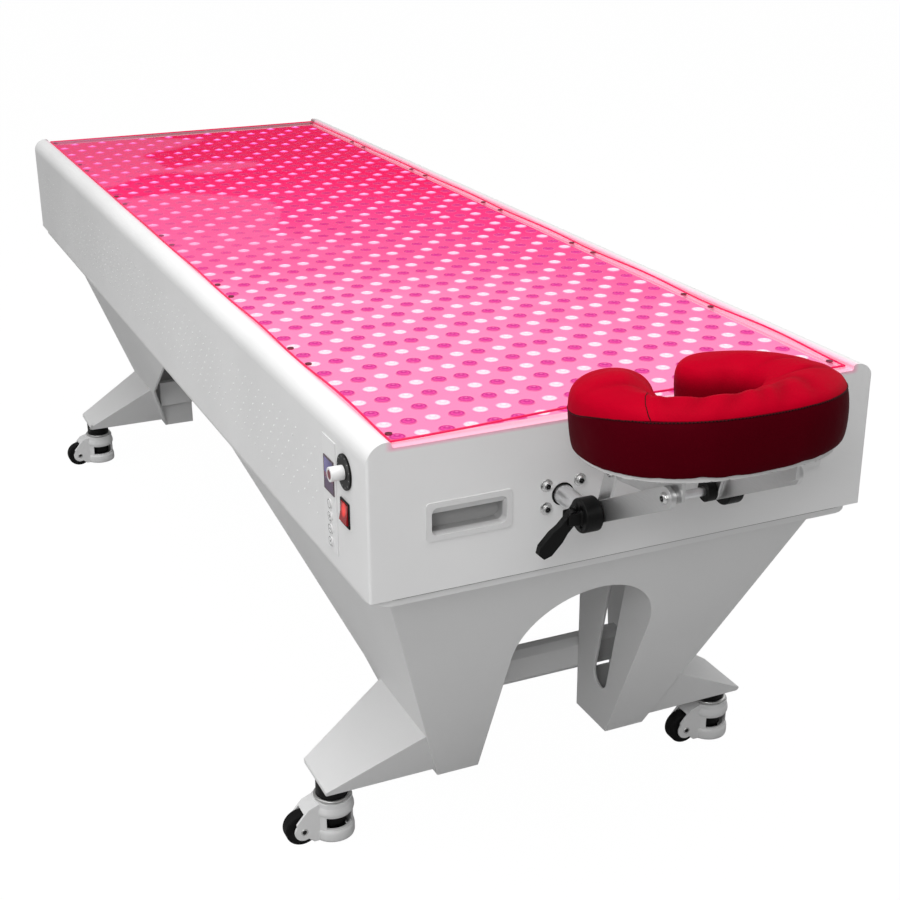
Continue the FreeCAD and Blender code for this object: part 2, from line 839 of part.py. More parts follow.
for across in (-1, 1):
    for joint in range(joints + 1):
        for shift in (-1, 1):
            outside = (joint == 0 and shift < 0) or (joint == joints and shift > 0)
            if outside:
                continue
            screw_x = "%d * (%s / 2 - screw_inset)" % (across, SHEET)
            screw_y = HEAD + " + %d * bed_length / section_count" % joint
            screw_y += " + %d * screw_spread" % shift
            screw_z = DECK + " + sheet_thick - screw_height"
            tag = "_%d" % len(heads)
            heads.append(
                rod("sheet_screw" + tag, "z", "screw_radius", "screw_height", screw_x, screw_y, screw_z)
            )
            recesses.append(
                rod(
                    "screw_recess" + tag,
                    "z",
                    "screw_radius + screw_play",
                    "2 * screw_height",
                    screw_x,
                    screw_y,
                    screw_z,
                )
            )
node(group("sheet_screws", heads))
sheet_blank = box(
    "sheet_blank",
    SHEET,
    "bed_length - 2 * sheet_margin",
    "sheet_thick",
    "-" + SHEET + " / 2",
    HEAD + " + sheet_margin",
    DECK,
)
node(cut("cover_sheet", sheet_blank, *recesses))

# Trestle under each end: sheet-metal end panel, skirts, leg plates and outriggers.
top_z = size("seam_z") - size("tray_height")
thick = size("panel_thick")
low_z = size("leg_z")
inner_x = size("leg_inner")
back_y = head + size("leg_back")


def skirt_x(z):
    """Distance of the outer skirt face from the middle at a height."""
    return half - size("skirt_inset") - size("skirt_slope") * (size("seam_z") - z)


def panel_y(z):
    """Front of the leaning end panel at a height."""
    return head + size("panel_setback") + size("panel_slope") * (top_z - z)


def on_skirt(y, z, shift=0.0):
    """Point of the left skirt face, shifted towards the middle."""
    return Vec(shift - skirt_x(z), y, z)


panel = slab(
    [
        Vec(-skirt_x(top_z), panel_y(top_z), top_z),
        Vec(skirt_x(top_z), panel_y(top_z), top_z),
        Vec(skirt_x(low_z), panel_y(low_z), low_z),
        Vec(-skirt_x(low_z), panel_y(low_z), low_z),
    ],
    Vec(0, thick, 0),
)
span_y = size("leg_back")
arch_top = Part.makeCylinder(
    size("arch_radius"), span_y, Vec(0, head, size("arch_z")), Vec(0, 1, 0)
)
arch_low = Part.makeBox(
    2 * size("arch_radius"),
    span_y,
    size("arch_z") - low_z + OVER,
    Vec(-size("arch_radius"), head, low_z - OVER),
)
panel = panel.cut(arch_top.fuse(arch_low))
reach_y = head + size("skirt_reach")
skirt = slab(
    [
        on_skirt(panel_y(top_z), top_z),
        on_skirt(panel_y(low_z), low_z),
        on_skirt(back_y, low_z),
        on_skirt(head + size("bend_y"), size("bend_z")),
        on_skirt(reach_y, top_z - size("skirt_tip")),
        on_skirt(reach_y, top_z),
    ],
    Vec(thick, 0, 0),
)
leg_plate = slab(
    [
        Vec(-inner_x, panel_y(top_z) + thick / 2, top_z),
        Vec(-inner_x, panel_y(low_z) + thick / 2, low_z),
        Vec(-inner_x, back_y, low_z),
        Vec(-inner_x, back_y, top_z),
    ],
    Vec(-thick, 0, 0),
)
slot_low = Vec(-inner_x - 2 * thick, head + size("slot_low_y"), size("slot_low_z"))
slot_high = Vec(-inner_x - 2 * thick, head + size("slot_high_y"), size("slot_high_z"))
slot_r = size("slot_radius")
lean = (slot_high - slot_low).normalize()
across = Vec(0, lean.z, -lean.y) * slot_r
slot_push = Vec(4 * thick, 0, 0)
slot = slab(
    [slot_low + across, slot_high + across, slot_high - across, slot_low - across], slot_push
)
for end in (slot_low, slot_high):
    slot = slot.fuse(Part.makeCylinder(slot_r, slot_push.Length, end, Vec(1, 0, 0)))
leg_plate = leg_plate.cut(slot)
cover_z = size("leg_cover")
leg_cover = slab(
    [
        Vec(-inner_x, back_y - thick, low_z),
        Vec(-skirt_x(low_z) + thick / 2, back_y - thick, low_z),
        Vec(-skirt_x(cover_z) + thick / 2, back_y - thick, cover_z),
        Vec(-inner_x, back_y - thick, cover_z),
    ],
    Vec(0, thick, 0),
)
leg_floor = slab(
    [
        Vec(-inner_x, panel_y(low_z) + thick / 2, low_z),
        Vec(-skirt_x(low_z) + thick / 2, panel_y(low_z) + thick / 2, low_z),
        Vec(-skirt_x(low_z) + thick / 2, back_y, low_z),
        Vec(-inner_x, back_y, low_z),
    ],
    Vec(0, 0, thick),
)

# The outrigger is a wedge between the skirt, the end panel's plane and a small tip.
foot_z = size("foot_z")
tip_x = size("foot_inset") - half
tip_z = foot_z + size("foot_tip")
foot_back = head + size("foot_back")
ridge_y = head + size("ridge_back_y")
ridge_z = size("ridge_back_z")
back_slope = (ridge_y - foot_back) / (ridge_z - foot_z)
front_z = size("ridge_front_z")
inward = thick / 2


def foot_front(z):
    """Front of the outrigger at a height."""
    return panel_y(z) + size("foot_step")


def foot_rear(z):
    """Back of the outrigger at a height."""
    return foot_back + back_slope * (z - foot_z)


corner_a = on_skirt(foot_front(front_z), front_z, inward)
corner_b = on_skirt(ridge_y, ridge_z, inward)
corner_c = on_skirt(foot_front(foot_z), foot_z, inward)
corner_d = on_skirt(foot_back, foot_z, inward)
tip_a = Vec(tip_x, foot_front(tip_z), tip_z)
tip_b = Vec(tip_x, foot_rear(tip_z), tip_z)
tip_c = Vec(tip_x, foot_front(foot_z), foot_z)
tip_d = Vec(tip_x, foot_back, foot_z)
loops = [
    [corner_a, corner_b, corner_d, corner_c],
    [corner_a, corner_c, tip_c, tip_a],
    [corner_b, tip_b, tip_d, corner_d],
    [corner_c, corner_d, tip_d, tip_c],
    [tip_a, tip_c, tip_d, tip_b],
    [corner_a, tip_a, corner_b],
    [corner_b, tip_a, tip_b],
]
faces = [Part.Face(Part.makePolygon(loop + [loop[0]])) for loop in loops]
outrigger = Part.Solid(Part.Shell(faces))
if outrigger.Volume < 0:
    outrigger.reverse()
tip_edges = [
    edge
    for edge in outrigger.Edges
    if runs_along(edge, "y") and abs(edge.CenterOfMass.x - tip_x) < NEAR
]
outrigger = outrigger.makeFillet(size("tip_round"), tip_edges)
left_side = [skirt, leg_plate, leg_cover, leg_floor, outrigger]
right_side = [shape.mirror(Vec(0, 0, 0), Vec(1, 0, 0)) for shape in left_side]
plate_front = panel_y(top_z - thick) + thick / 2
top_plate = Part.makeBox(
    2 * skirt_x(top_z) - thick,
    head + size("top_depth") - plate_front,
    thick,
    Vec(thick / 2 - skirt_x(top_z), plate_front, top_z - thick),
)
trestle_shape = panel.multiFuse(left_side + right_side + [top_plate]).removeSplitter()
trestle = node(feature("trestle_head", trestle_shape))
middle = Vec(0, size("cradle_reach") / 2, 0)
node(mirror("trestle_foot", trestle, Vec(0, 1, 0), middle))

# Stretcher behind the legs of each trestle, with bevelled front edges.
BEAM = "bed_width / 2 - skirt_inset - skirt_slope * (seam_z - beam_z) - panel_thick - beam_clear"
beam_block = box(
    "beam_block",
    "2 * (" + BEAM + ")",
    "beam_depth",
    "beam_height",
    "-(" + BEAM + ")",
    HEAD + " + leg_back",
    "beam_z",
)


def beam_front(edge):
    """Chooser for the two long edges that face the bed end."""
    return runs_along(edge, "x") and abs(edge.CenterOfMass.y - back_y) < NEAR


beam = node(
    round_edges(
        "stretcher_head", beam_block, [(beam_front, size("beam_bevel"))], "Part::Chamfer"
    )
)
node(mirror("stretcher_foot", beam, Vec(0, 1, 0), middle))

# Hexagon heads of the frame bolts under both top plates.
bolts = []
for start, toward in ((HEAD, "+"), (FOOT, "-")):
    for bolt_y in ("bolt_near", "bolt_far"):
        for bolt_x in ("-bolt_dx", "bolt_dx"):
            bolt = doc.addObject("Part::Prism", "frame_bolt_%d" % len(bolts))
            bolt.Polygon = 6
            bolt.setExpression("Circumradius", rule("bolt_radius"))
            bolt.setExpression("Height", rule("bolt_height"))
            place(
                bolt,
                bolt_x,
                start + toward + bolt_y,
                "seam_z - tray_height - panel_thick - bolt_height",
            )
            bolts.append(bolt)
node(group("frame_bolts", bolts))

# One levelling caster about the Z axis with its wheel trailing towards -X.
mount_disc = rod(
    "mount_disc",
    "z",
    "mount_radius",
    "foot_z - caster_top - swivel_gap",
    ZERO,
    ZERO,
    "caster_top + swivel_gap",
)
ring_outer = rod(
    "ring_outer",
    "z",
    "ring_radius",
    "caster_top - ring_bottom",
    ZERO,
    ZERO,
    "ring_bottom",
)
ring_inner = rod(
    "ring_inner",
    "z",
    "ring_radius - ring_wall",
    "cap_underside",
    ZERO,
    ZERO,
    ZERO,
)
ports = box(
    "adjuster_ports",
    "port_back + port_front",
    "4 * ring_radius",
    "port_high - port_low",
    "-port_back",
    "-2 * ring_radius",
    "port_low",
)
trail = size("caster_trail")
axle_z = size("wheel_radius")
cheek = size("cheek_radius")
cap_z = size("caster_top")
fork_low = size("ring_bottom")
fork_half = size("fork_half")
fork_line = [
    (0, cap_z),
    (-trail / 2, cap_z),
    (-trail + cheek / 2, (cap_z + axle_z) / 2 + cheek),
    (-trail - size("guard_back"), axle_z + cheek),
    (-trail - size("guard_low"), axle_z),
    (-trail, axle_z - cheek / 2),
    (-trail + cheek, fork_low),
    (0, fork_low),
]
fork_points = [Vec(x, -fork_half, z) for x, z in fork_line]
fork_shape = slab(fork_points, Vec(0, 2 * fork_half, 0)).fuse(
    Part.makeCylinder(cheek, 2 * fork_half, Vec(-trail, -fork_half, axle_z), Vec(0, 1, 0))
)
fork = feature("fork", fork_shape)
pocket = rod(
    "wheel_pocket",
    "y",
    "wheel_radius + wheel_room",
    "wheel_width + 2 * wheel_room",
    "-caster_trail",
    "-wheel_width / 2 - wheel_room",
    "wheel_radius",
)
axle = rod(
    "axle", "y", "axle_radius", "2 * fork_half", "-caster_trail", "-fork_half", "wheel_radius"
)
caster_shell = cut(
    "caster_shell", fuse("caster_outer", ring_outer, fork), ring_inner, ports, pocket
)
caster_body = fuse("caster_body", caster_shell, axle)
wheel_disc = rod(
    "wheel_disc",
    "y",
    "wheel_radius",
    "wheel_width",
    "-caster_trail",
    "-wheel_width / 2",
    "wheel_radius",
)
wheel_round = round_edges(
    "wheel_round",
    wheel_disc,
    [(lambda edge: edge.Curve.TypeId == "Part::GeomCircle", size("wheel_edge"))],
)
wheel_bore = rod(
    "wheel_bore",
    "y",
    "axle_radius + axle_play",
    "4 * wheel_width",
    "-caster_trail",
    "-2 * wheel_width",
    "wheel_radius",
)
wheel = cut("caster_wheel", wheel_round, wheel_bore)
adjuster_disc = rod(
    "adjuster_disc",
    "z",
    "dial_ring_radius",
    "cap_underside - swivel_gap - port_low",
    ZERO,
    ZERO,
    "port_low",
)
adjuster_bore = rod(
    "adjuster_bore",
    "z",
    "stem_radius + stem_play",
    "2 * cap_underside",
    ZERO,
    ZERO,
    ZERO,
)
adjuster = cut("caster_adjuster", adjuster_disc, adjuster_bore)
pad_disc = rod(
    "pad_disc", "z", "pad_radius", "pad_thick", ZERO, ZERO, "pad_clear"
)
pad_stem = rod(
    "pad_stem",
    "z",
    "stem_radius",
    "stem_top - pad_clear",
    ZERO,
    ZERO,
    "pad_clear",
)
pad = fuse("caster_pad", pad_disc, pad_stem)


def stand_at(name, source, x, y, turn):
    """Copy of a caster piece at one corner of the bed, turned about its swivel axis."""
    obj = group(name, [source])
    obj.Placement = FreeCAD.Placement(Vec(0, 0, 0), FreeCAD.Rotation(Vec(0, 0, 1), turn))
    return place(obj, x, y, ZERO)


CORNERS = [
    ("head_left", "-(" + CASTER_X + ")", HEAD + " + caster_y", 0),
    ("head_right", CASTER_X, HEAD + " + caster_y", 0),
    ("foot_left", "-(" + CASTER_X + ")", FOOT + " - caster_y", 0),
    ("foot_right", CASTER_X, FOOT + " - caster_y", 180),
]
mounts = []
for corner, caster_x, caster_y, turn in CORNERS:
    mounts.append(stand_at("mount_" + corner, mount_disc, caster_x, caster_y, turn))
    for kind, source in (
        ("body", caster_body),
        ("wheel", wheel),
        ("adjuster", adjuster),
        ("pad", pad),
    ):
        node(stand_at("caster_%s_%s" % (kind, corner), source, caster_x, caster_y, turn))
node(group("caster_mounts", mounts))

# Face cradle: posts, clamp hubs and the tie rod on which the arms swing.
AXIS_Y = HEAD + " - axis_out"
posts = {}
for hand, sign in (("left", "-"), ("right", "+")):
    posts[hand] = node(
        rod(
            "cradle_post_" + hand,
            "y",
            "post_radius",
            "post_reach + post_insert",
            "cradle_x" + sign + "post_x",
            HEAD + " - post_reach",
            "post_z",
        )
    )
tie_rod = node(
    rod(
        "cradle_rod",
        "x",
        "rod_radius",
        "2 * hub_x + hub_length",
        "cradle_x - hub_x - hub_length / 2",
        AXIS_Y,
        "post_z",
    )
)
lug_block = box(
    "lug_block",
    "lug_reach + hub_length / 2",
    "lever_thick + 2 * lug_thick + 2 * swivel_gap",
    "lug_height",
    "cradle_x - hub_x - hub_length / 2 - lug_reach",
    AXIS_Y + " - lever_thick / 2 - lug_thick - swivel_gap",
    "post_z - lug_height / 2",
)
lug_gap = box(
    "lug_gap",
    "2 * lug_reach",
    "lever_thick + 2 * swivel_gap",
    "4 * lug_height",
    "cradle_x - hub_x - hub_length / 2 - 2 * lug_reach",
    AXIS_Y + " - lever_thick / 2 - swivel_gap",
    "post_z - 2 * lug_height",
)
lug_pin = rod(
    "lug_pin",
    "y",
    "lever_pin",
    "lever_thick + 2 * lug_thick",
    "cradle_x - hub_x - hub_length / 2 - lever_out",
    AXIS_Y + " - lever_thick / 2 - lug_thick",
    "post_z",
)
for hand, sign in (("left", "-"), ("right", "+")):
    hub = rod(
        "hub_disc_" + hand,
        "x",
        "hub_radius",
        "hub_length",
        "cradle_x" + sign + "hub_x - hub_length / 2",
        AXIS_Y,
        "post_z",
    )
    solid = hub
    if hand == "left":
        lugs = cut("hub_lugs", lug_block, lug_gap)
        solid = fuse("hub_with_lugs", hub, lugs, lug_pin)
    node(cut("cradle_hub_" + hand, solid, posts[hand], tie_rod))
spacers = []
for hand, start in (
    ("left", "cradle_x - arm_x + bracket_thick + 2 * swivel_gap"),
    ("right", "cradle_x + arm_x - bracket_thick - 2 * swivel_gap - spacer_length"),
):
    sleeve = rod(
        "spacer_sleeve_" + hand, "x", "spacer_radius", "spacer_length", start, AXIS_Y, "post_z"
    )
    spacers.append(cut("rod_spacer_" + hand, sleeve, tie_rod))
node(group("rod_spacers", spacers))

# Cam lever: a paddle that hangs outward and down from the pin on the left hub.
cradle_x = size("cradle_x")
pin_x = cradle_x - size("hub_x") - size("hub_length") / 2 - size("lever_out")
axis_y = head - size("axis_out")
axis_z = size("post_z")
boss = size("lever_boss")
reach = size("lever_length")
paddle = size("lever_width") / 2
lever_thick = size("lever_thick")
lever_right = [
    (size("lever_neck"), 0),
    (size("lever_neck"), -size("lever_waist")),
    (paddle, -size("lever_shoulder")),
    (paddle, size("lever_toe") - reach),
    (size("lever_tip"), -reach),
]
lever_left = [(-x, z) for x, z in reversed(lever_right)]
lever_line = lever_right + lever_left
lever_start = Vec(pin_x, axis_y - lever_thick / 2, axis_z)
lever_shape = slab([Vec(x, 0, z) for x, z in lever_line], Vec(0, lever_thick, 0)).fuse(
    Part.makeCylinder(boss, lever_thick, Vec(0, 0, 0), Vec(0, 1, 0))
)
lever_shape = lever_shape.cut(
    Part.makeCylinder(
        size("lever_pin") + size("rod_play"), 3 * lever_thick, Vec(0, -lever_thick, 0), Vec(0, 1, 0)
    )
)
lever = feature("cradle_lever", lever_shape)
lever.Placement = FreeCAD.Placement(lever_start, FreeCAD.Rotation(Vec(0, 1, 0), size("lever_angle")))
node(lever)

# Arms, struts and brackets carry the platform; all of them swing on the tie rod.
axis = Vec(cradle_x, axis_y, axis_z)
cradle_mid = Vec(cradle_x, 0, 0)
arm_top = axis + Vec(0, -size("arm_run"), size("arm_rise"))
strut_top = axis + Vec(0, -size("strut_run"), size("strut_rise"))


def link(start, end, radius, x, wide):
    """Flat bar with round ends between two points, lying in a plane across X."""
    along = (end - start).normalize()
    aside = Vec(0, along.z, -along.y) * radius
    at = Vec(x, 0, 0)
    push = Vec(wide, 0, 0)
    bar = slab([at + start + aside, at + end + aside, at + end - aside, at + start - aside], push)
    ends = [Part.makeCylinder(radius, wide, at + spot, Vec(1, 0, 0)) for spot in (start, end)]
    return bar.multiFuse(ends)


arm_x = size("arm_x")
arm_wide = size("arm_thick")
bracket_wide = size("bracket_thick")
rod_hole = Part.makeCylinder(
    size("rod_radius") + size("rod_play"),
    2 * arm_x,
    axis + Vec(-2 * arm_x, 0, 0),
    Vec(1, 0, 0),
)
arm_boss = Part.makeCylinder(
    size("strut_radius"), bracket_wide, arm_top + Vec(-arm_x, 0, 0), Vec(1, 0, 0)
)
arm_shape = link(axis, arm_top, size("arm_radius"), -arm_x - arm_wide, arm_wide)
arm_left = node(feature("cradle_arm_left", arm_shape.fuse(arm_boss).cut(rod_hole)))
node(mirror("cradle_arm_right", arm_left, Vec(1, 0, 0), cradle_mid))
plat_z = size("platform_z")
band = size("cushion_half")
wide = size("cushion_wide")
deep = size("cushion_deep")
tilt = size("cradle_tilt")
centre_y = head - size("cradle_reach") + deep + band
strut_shape = link(axis, strut_top, size("strut_half"), -arm_x, bracket_wide)
front_y = head - size("bracket_front")
rear_y = head - size("bracket_back")
bracket_x = cradle_x - arm_x + bracket_wide


def under(y):
    """Height of the leaning platform's underside."""
    return plat_z - math.tan(math.radians(tilt)) * (y - centre_y)


bracket_line = [
    (front_y, under(front_y)),
    (rear_y, under(rear_y)),
    (rear_y, strut_top.z - size("strut_radius")),
    (strut_top.y, strut_top.z - size("strut_radius")),
    (arm_top.y, arm_top.z - size("strut_radius")),
    (front_y, arm_top.z),
]
bracket_shape = slab(
    [Vec(bracket_x, y, z) for y, z in bracket_line], Vec(bracket_wide, 0, 0)
).fuse(strut_shape.cut(rod_hole))
bracket_left = node(feature("cradle_bracket_left", bracket_shape))
node(mirror("cradle_bracket_right", bracket_left, Vec(1, 0, 0), cradle_mid))
pivot_heads = []
for spot, start_x in ((arm_top, -arm_x - arm_wide), (strut_top, -arm_x)):
    pivot_heads.append(
        Part.makeCylinder(
            size("pivot_radius"),
            size("pivot_height"),
            spot + Vec(start_x - size("pivot_height"), 0, 0),
            Vec(1, 0, 0),
        )
    )
pivot_heads += [shape.mirror(cradle_mid, Vec(1, 0, 0)) for shape in pivot_heads]
node(feature("pivot_screws", Part.Compound(pivot_heads)))

# Face cushion: a band round a half-open squarish ring, with drawn-in sides and a crown.
cushion_x = size("cushion_x")
gap = math.radians(size("cushion_gap"))
turned = math.radians(size("cushion_turn"))
square = size("cushion_square")
ARC_STEPS = 18
CAP_STEPS = 5


def band_point(turn):
    """Centre-line point and outward normal at an angle measured from +Y."""
    across = math.sin(turn)
    along = math.cos(turn)
    stretch = (abs(across) ** square + abs(along) ** square) ** (-1 / square)
    spot = Vec(cushion_x + wide * stretch * across, centre_y + deep * stretch * along, 0)
    steep_x = math.copysign(abs(across) ** (square - 1), across) / wide
    steep_y = math.copysign(abs(along) ** (square - 1), along) / deep
    return spot, Vec(steep_x, steep_y, 0).normalize()


def band_outline(radius, z):
    """Closed smooth wire at a set distance from the centre line of the band."""
    sweep = 2 * math.pi - 2 * gap
    turns = [gap - turned + sweep * k / ARC_STEPS for k in range(ARC_STEPS + 1)]
    outer = [spot + away * radius for spot, away in map(band_point, turns)]
    inner = [spot - away * radius for spot, away in map(band_point, reversed(turns))]

    def cap(turn, side):
        spot, away = band_point(turn)
        ahead = Vec(-away.y, away.x, 0) * side
        swing = [math.pi * k / CAP_STEPS for k in range(1, CAP_STEPS)]
        return [spot + (away * math.cos(a) + ahead * math.sin(a)) * radius for a in swing]

    last = cap(turns[-1], -1)
    first = list(reversed(cap(turns[0], 1)))
    points = [Vec(p.x, p.y, z) for p in outer + last + inner + first]
    curve = Part.BSplineCurve()
    curve.interpolate(points, PeriodicFlag=True)
    return Part.Wire(curve.toShape())


def lean_back(shape):
    """Shape turned with the cradle about a line across its middle."""
    turned_shape = shape.copy()
    turned_shape.rotate(Vec(cradle_x, centre_y, plat_z), Vec(1, 0, 0), -tilt)
    return turned_shape


platform_edge = band - size("platform_inset")
platform_face = Part.Face(band_outline(platform_edge, plat_z))
platform_shape = platform_face.extrude(Vec(0, 0, size("platform_thick")))
node(feature("cradle_platform", lean_back(platform_shape)))
rest_z = plat_z + size("platform_show")
tall = size("cushion_height")
PROFILE = ((0.9, 0.0), (0.98, 0.12), (1.0, 0.45), (0.98, 0.84), (0.84, 0.96), (0.6, 1.0))
rings = [band_outline(band * part, rest_z + tall * rise) for part, rise in PROFILE]
recess_face = Part.Face(band_outline(platform_edge + size("cushion_play"), plat_z))
recess = recess_face.extrude(Vec(0, 0, size("platform_thick")))
cushion_shape = Part.makeLoft(rings, True, False).cut(recess)
node(feature("face_cushion", lean_back(cushion_shape)))

doc.recompute()
os.makedirs("parts", exist_ok=True)
for obj in doc.Objects:
    if "Invalid" in obj.State or "Error" in obj.State:
        raise RuntimeError("%s did not build: %s" % (obj.Name, obj.State))
for obj in nodes:
    if obj.Shape.isNull() or not obj.Shape.isValid():
        raise RuntimeError("%s has no valid shape" % obj.Label)
    obj.Shape.exportStep("parts/%s.step" % obj.Label)
print("%d nodes written" % len(nodes))
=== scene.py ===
# %% [markdown]
# The bed arrives from the CAD side as a fixed frame: every rigid piece sits where it
# belongs, in metres. This lesson dresses that frame.

# %% Load the frame
import json
import math

import bmesh
import bpy
import numpy as np
from mathutils import Matrix, Vector
from mathutils.bvhtree import BVHTree

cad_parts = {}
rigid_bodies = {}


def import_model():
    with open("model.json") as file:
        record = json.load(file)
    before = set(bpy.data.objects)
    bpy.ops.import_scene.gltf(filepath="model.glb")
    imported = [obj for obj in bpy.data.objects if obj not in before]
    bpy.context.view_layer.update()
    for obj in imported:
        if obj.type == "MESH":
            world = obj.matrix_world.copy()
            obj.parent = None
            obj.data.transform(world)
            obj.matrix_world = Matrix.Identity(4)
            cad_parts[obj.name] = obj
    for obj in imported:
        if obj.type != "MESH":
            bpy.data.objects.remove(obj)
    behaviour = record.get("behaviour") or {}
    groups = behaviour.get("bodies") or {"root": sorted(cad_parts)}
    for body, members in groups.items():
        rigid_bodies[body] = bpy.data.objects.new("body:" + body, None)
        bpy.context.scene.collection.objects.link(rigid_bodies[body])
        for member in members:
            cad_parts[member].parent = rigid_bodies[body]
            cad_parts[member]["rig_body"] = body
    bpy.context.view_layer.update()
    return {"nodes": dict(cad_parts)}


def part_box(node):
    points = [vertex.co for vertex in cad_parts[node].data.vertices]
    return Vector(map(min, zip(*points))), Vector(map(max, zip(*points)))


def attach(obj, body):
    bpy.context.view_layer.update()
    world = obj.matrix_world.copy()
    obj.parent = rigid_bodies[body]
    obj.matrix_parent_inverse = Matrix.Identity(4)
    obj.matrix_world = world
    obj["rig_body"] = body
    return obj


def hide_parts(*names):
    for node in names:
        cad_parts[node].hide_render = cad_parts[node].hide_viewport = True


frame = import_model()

nodes = frame["nodes"]
MM = 0.001
DEG = math.pi / 180
head_y = float(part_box("housing_shell")[0][1])
foot_y = float(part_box("housing_shell")[1][1])
print("nodes:", len(nodes), "head end at", round(head_y, 4), "foot end at", round(foot_y, 4))

# %% [markdown]
# The photograph was taken from in front of the head end, a little to the left and above.
# The camera is given by its own three axes, because a camera looks along its local -Z and
# a matrix of axes says that without any angles to get wrong.

# %% Camera
EYE = Vector((-0.897, head_y - 1.4475, 1.312))
RIGHT = Vector((0.9123, -0.4094, 0.0)).normalized()
AHEAD = Vector((0.3800, 0.8468, -0.3720)).normalized()
ROLL = -0.28 * DEG
UP = RIGHT.cross(AHEAD).normalized()
level = RIGHT * math.cos(ROLL) + UP * math.sin(ROLL)
upright = UP * math.cos(ROLL) - RIGHT * math.sin(ROLL)
eye_data = bpy.data.cameras.new("photo_camera")
eye_data.lens = 60.04
eye_data.sensor_width = 36.0
eye_data.sensor_fit = "HORIZONTAL"
eye_data.clip_end = 60.0
eye = bpy.data.objects.new("photo_camera", eye_data)
bpy.context.scene.collection.objects.link(eye)
axes = Matrix((level, upright, -AHEAD)).transposed()
eye.matrix_world = Matrix.Translation(EYE) @ axes.to_4x4()
bpy.context.scene.camera = eye

# %% [markdown]
# Materials are written as arithmetic. A small class wraps one shader socket and turns
# Python operators into Math nodes; a second one owns a material and adds any other node
# through one method. That keeps each finish to a few readable lines.

# %% Shader helpers


def operator(operation, swapped=False):
    """Python operator that adds one Math node."""

    def act(self, other):
        return self.math(operation, *((other, self) if swapped else (self, other)))

    return act


class Wire:
    """One shader output that takes part in Python arithmetic."""

    def __init__(self, paint, socket):
        self.paint = paint
        self.socket = socket

    def math(self, operation, first, second):
        return self.paint.node("ShaderNodeMath", {"operation": operation}, {0: first, 1: second})

    __add__ = __radd__ = operator("ADD")
    __sub__ = operator("SUBTRACT")
    __rsub__ = operator("SUBTRACT", swapped=True)
    __mul__ = operator("MULTIPLY")
    __truediv__ = operator("DIVIDE")
    above = operator("GREATER_THAN")

    def alone(self, operation):
        """Math of one value, such as its root or its fraction."""
        return self.math(operation, self, 0.0)

    def within(self, reach):
        """One where the value lies between -reach and reach, else zero."""
        return 1.0 - self.alone("ABSOLUTE").above(reach)

    def smooth(self, low, high):
        return self.paint.node(
            "ShaderNodeMapRange",
            {"interpolation_type": "SMOOTHSTEP"},
            {0: self, 1: low, 2: high, 3: 0.0, 4: 1.0},
        )


class Paint:
    """A material built round one Principled shader; fixed values are set on its sockets."""

    def __init__(self, name, **fixed):
        self.material = bpy.data.materials.new(name)
        self.material.use_nodes = True
        self.tree = self.material.node_tree
        self.shader = self.tree.nodes["Principled BSDF"]
        for socket, value in fixed.items():
            name = socket.replace("_", " ").title().replace("Ior", "IOR")
            if isinstance(value, tuple) and len(value) == 3:
                value = value + (1.0,)
            self.shader.inputs[name].default_value = value

    def node(self, kind, settings=None, sockets=None, out=0):
        """Add a node: settings first, then the values or links of its sockets."""
        made = self.tree.nodes.new(kind)
        for key, value in (settings or {}).items():
            if key == "stops":
                ramp = made.color_ramp
                while len(ramp.elements) < len(value):
                    ramp.elements.new(1.0)
                for element, (place, colour) in zip(ramp.elements, value):
                    element.position = place
                    element.color = tuple(colour) + (1.0,)
            else:
                setattr(made, key, value)
        for key, value in (sockets or {}).items():
            if isinstance(value, Wire):
                self.tree.links.new(value.socket, made.inputs[key])
            elif isinstance(value, tuple) and made.inputs[key].type == "RGBA":
                made.inputs[key].default_value = value + (1.0,)
            else:
                made.inputs[key].default_value = value
        return Wire(self, made.outputs[out])

    def place(self):
        """Object coordinates split into x, y and z, and the whole vector."""
        spot = self.node("ShaderNodeTexCoord", out=3)
        parts = [self.node("ShaderNodeSeparateXYZ", None, {0: spot}, out=k) for k in range(3)]
        return spot, parts

    def noise(self, spot, scale, detail=3.0):
        return self.node(
            "ShaderNodeTexNoise", None, {"Vector": spot, "Scale": scale, "Detail": detail}
        )

    def mix(self, share, first, second):
        """Colour that goes from first to second with share."""
        return self.node(
            "ShaderNodeMix", {"data_type": "RGBA"}, {0: share, 6: first, 7: second}, out=2
        )

    def ramp(self, stops, share):
        """Colour read from a list of (place, colour) stops."""
        return self.node("ShaderNodeValToRGB", {"stops": stops}, {0: share})

    def noted(self, name):
        """Number that note() keeps on every point of a piece."""
        return self.node("ShaderNodeAttribute", {"attribute_name": name}, None, out=2)

    def feed(self, socket, wire):
        self.tree.links.new(wire.socket, self.shader.inputs[socket])

    def done(self, base, rough=None, bump=None):
        """Feed colour, roughness and a bump of height, strength and distance."""
        self.feed("Base Color", base)
        if rough:
            self.feed("Roughness", rough)
        if bump:
            sockets = dict(zip(("Height", "Strength", "Distance"), bump))
            self.feed("Normal", self.node("ShaderNodeBump", None, sockets))
        return self.material

    def shine(self, tone, dimmed=None):
        """Send a colour out as light; a dimmed one, if given, stays the surface colour."""
        self.feed("Emission Color", tone)
        return self.done(dimmed or tone)


def grey(value):
    """Neutral colour of one value."""
    return (value, value, value)


def wear(node_names, material):
    """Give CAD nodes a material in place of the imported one."""
    for name in node_names:
        data = nodes[name].data
        data.materials.clear()
        data.materials.append(material)


# %% [markdown]
# A studio shot of a white object needs soft light from above. One wide lamp hangs over the
# bed, weaker ones stand on the left, on the right and in front, and the world adds an even glow.
# The floor is pale; the camera sees it white, so the bed stands on a clean backdrop, while
# only a little light is thrown back under the bed and its lower panels keep their shade.

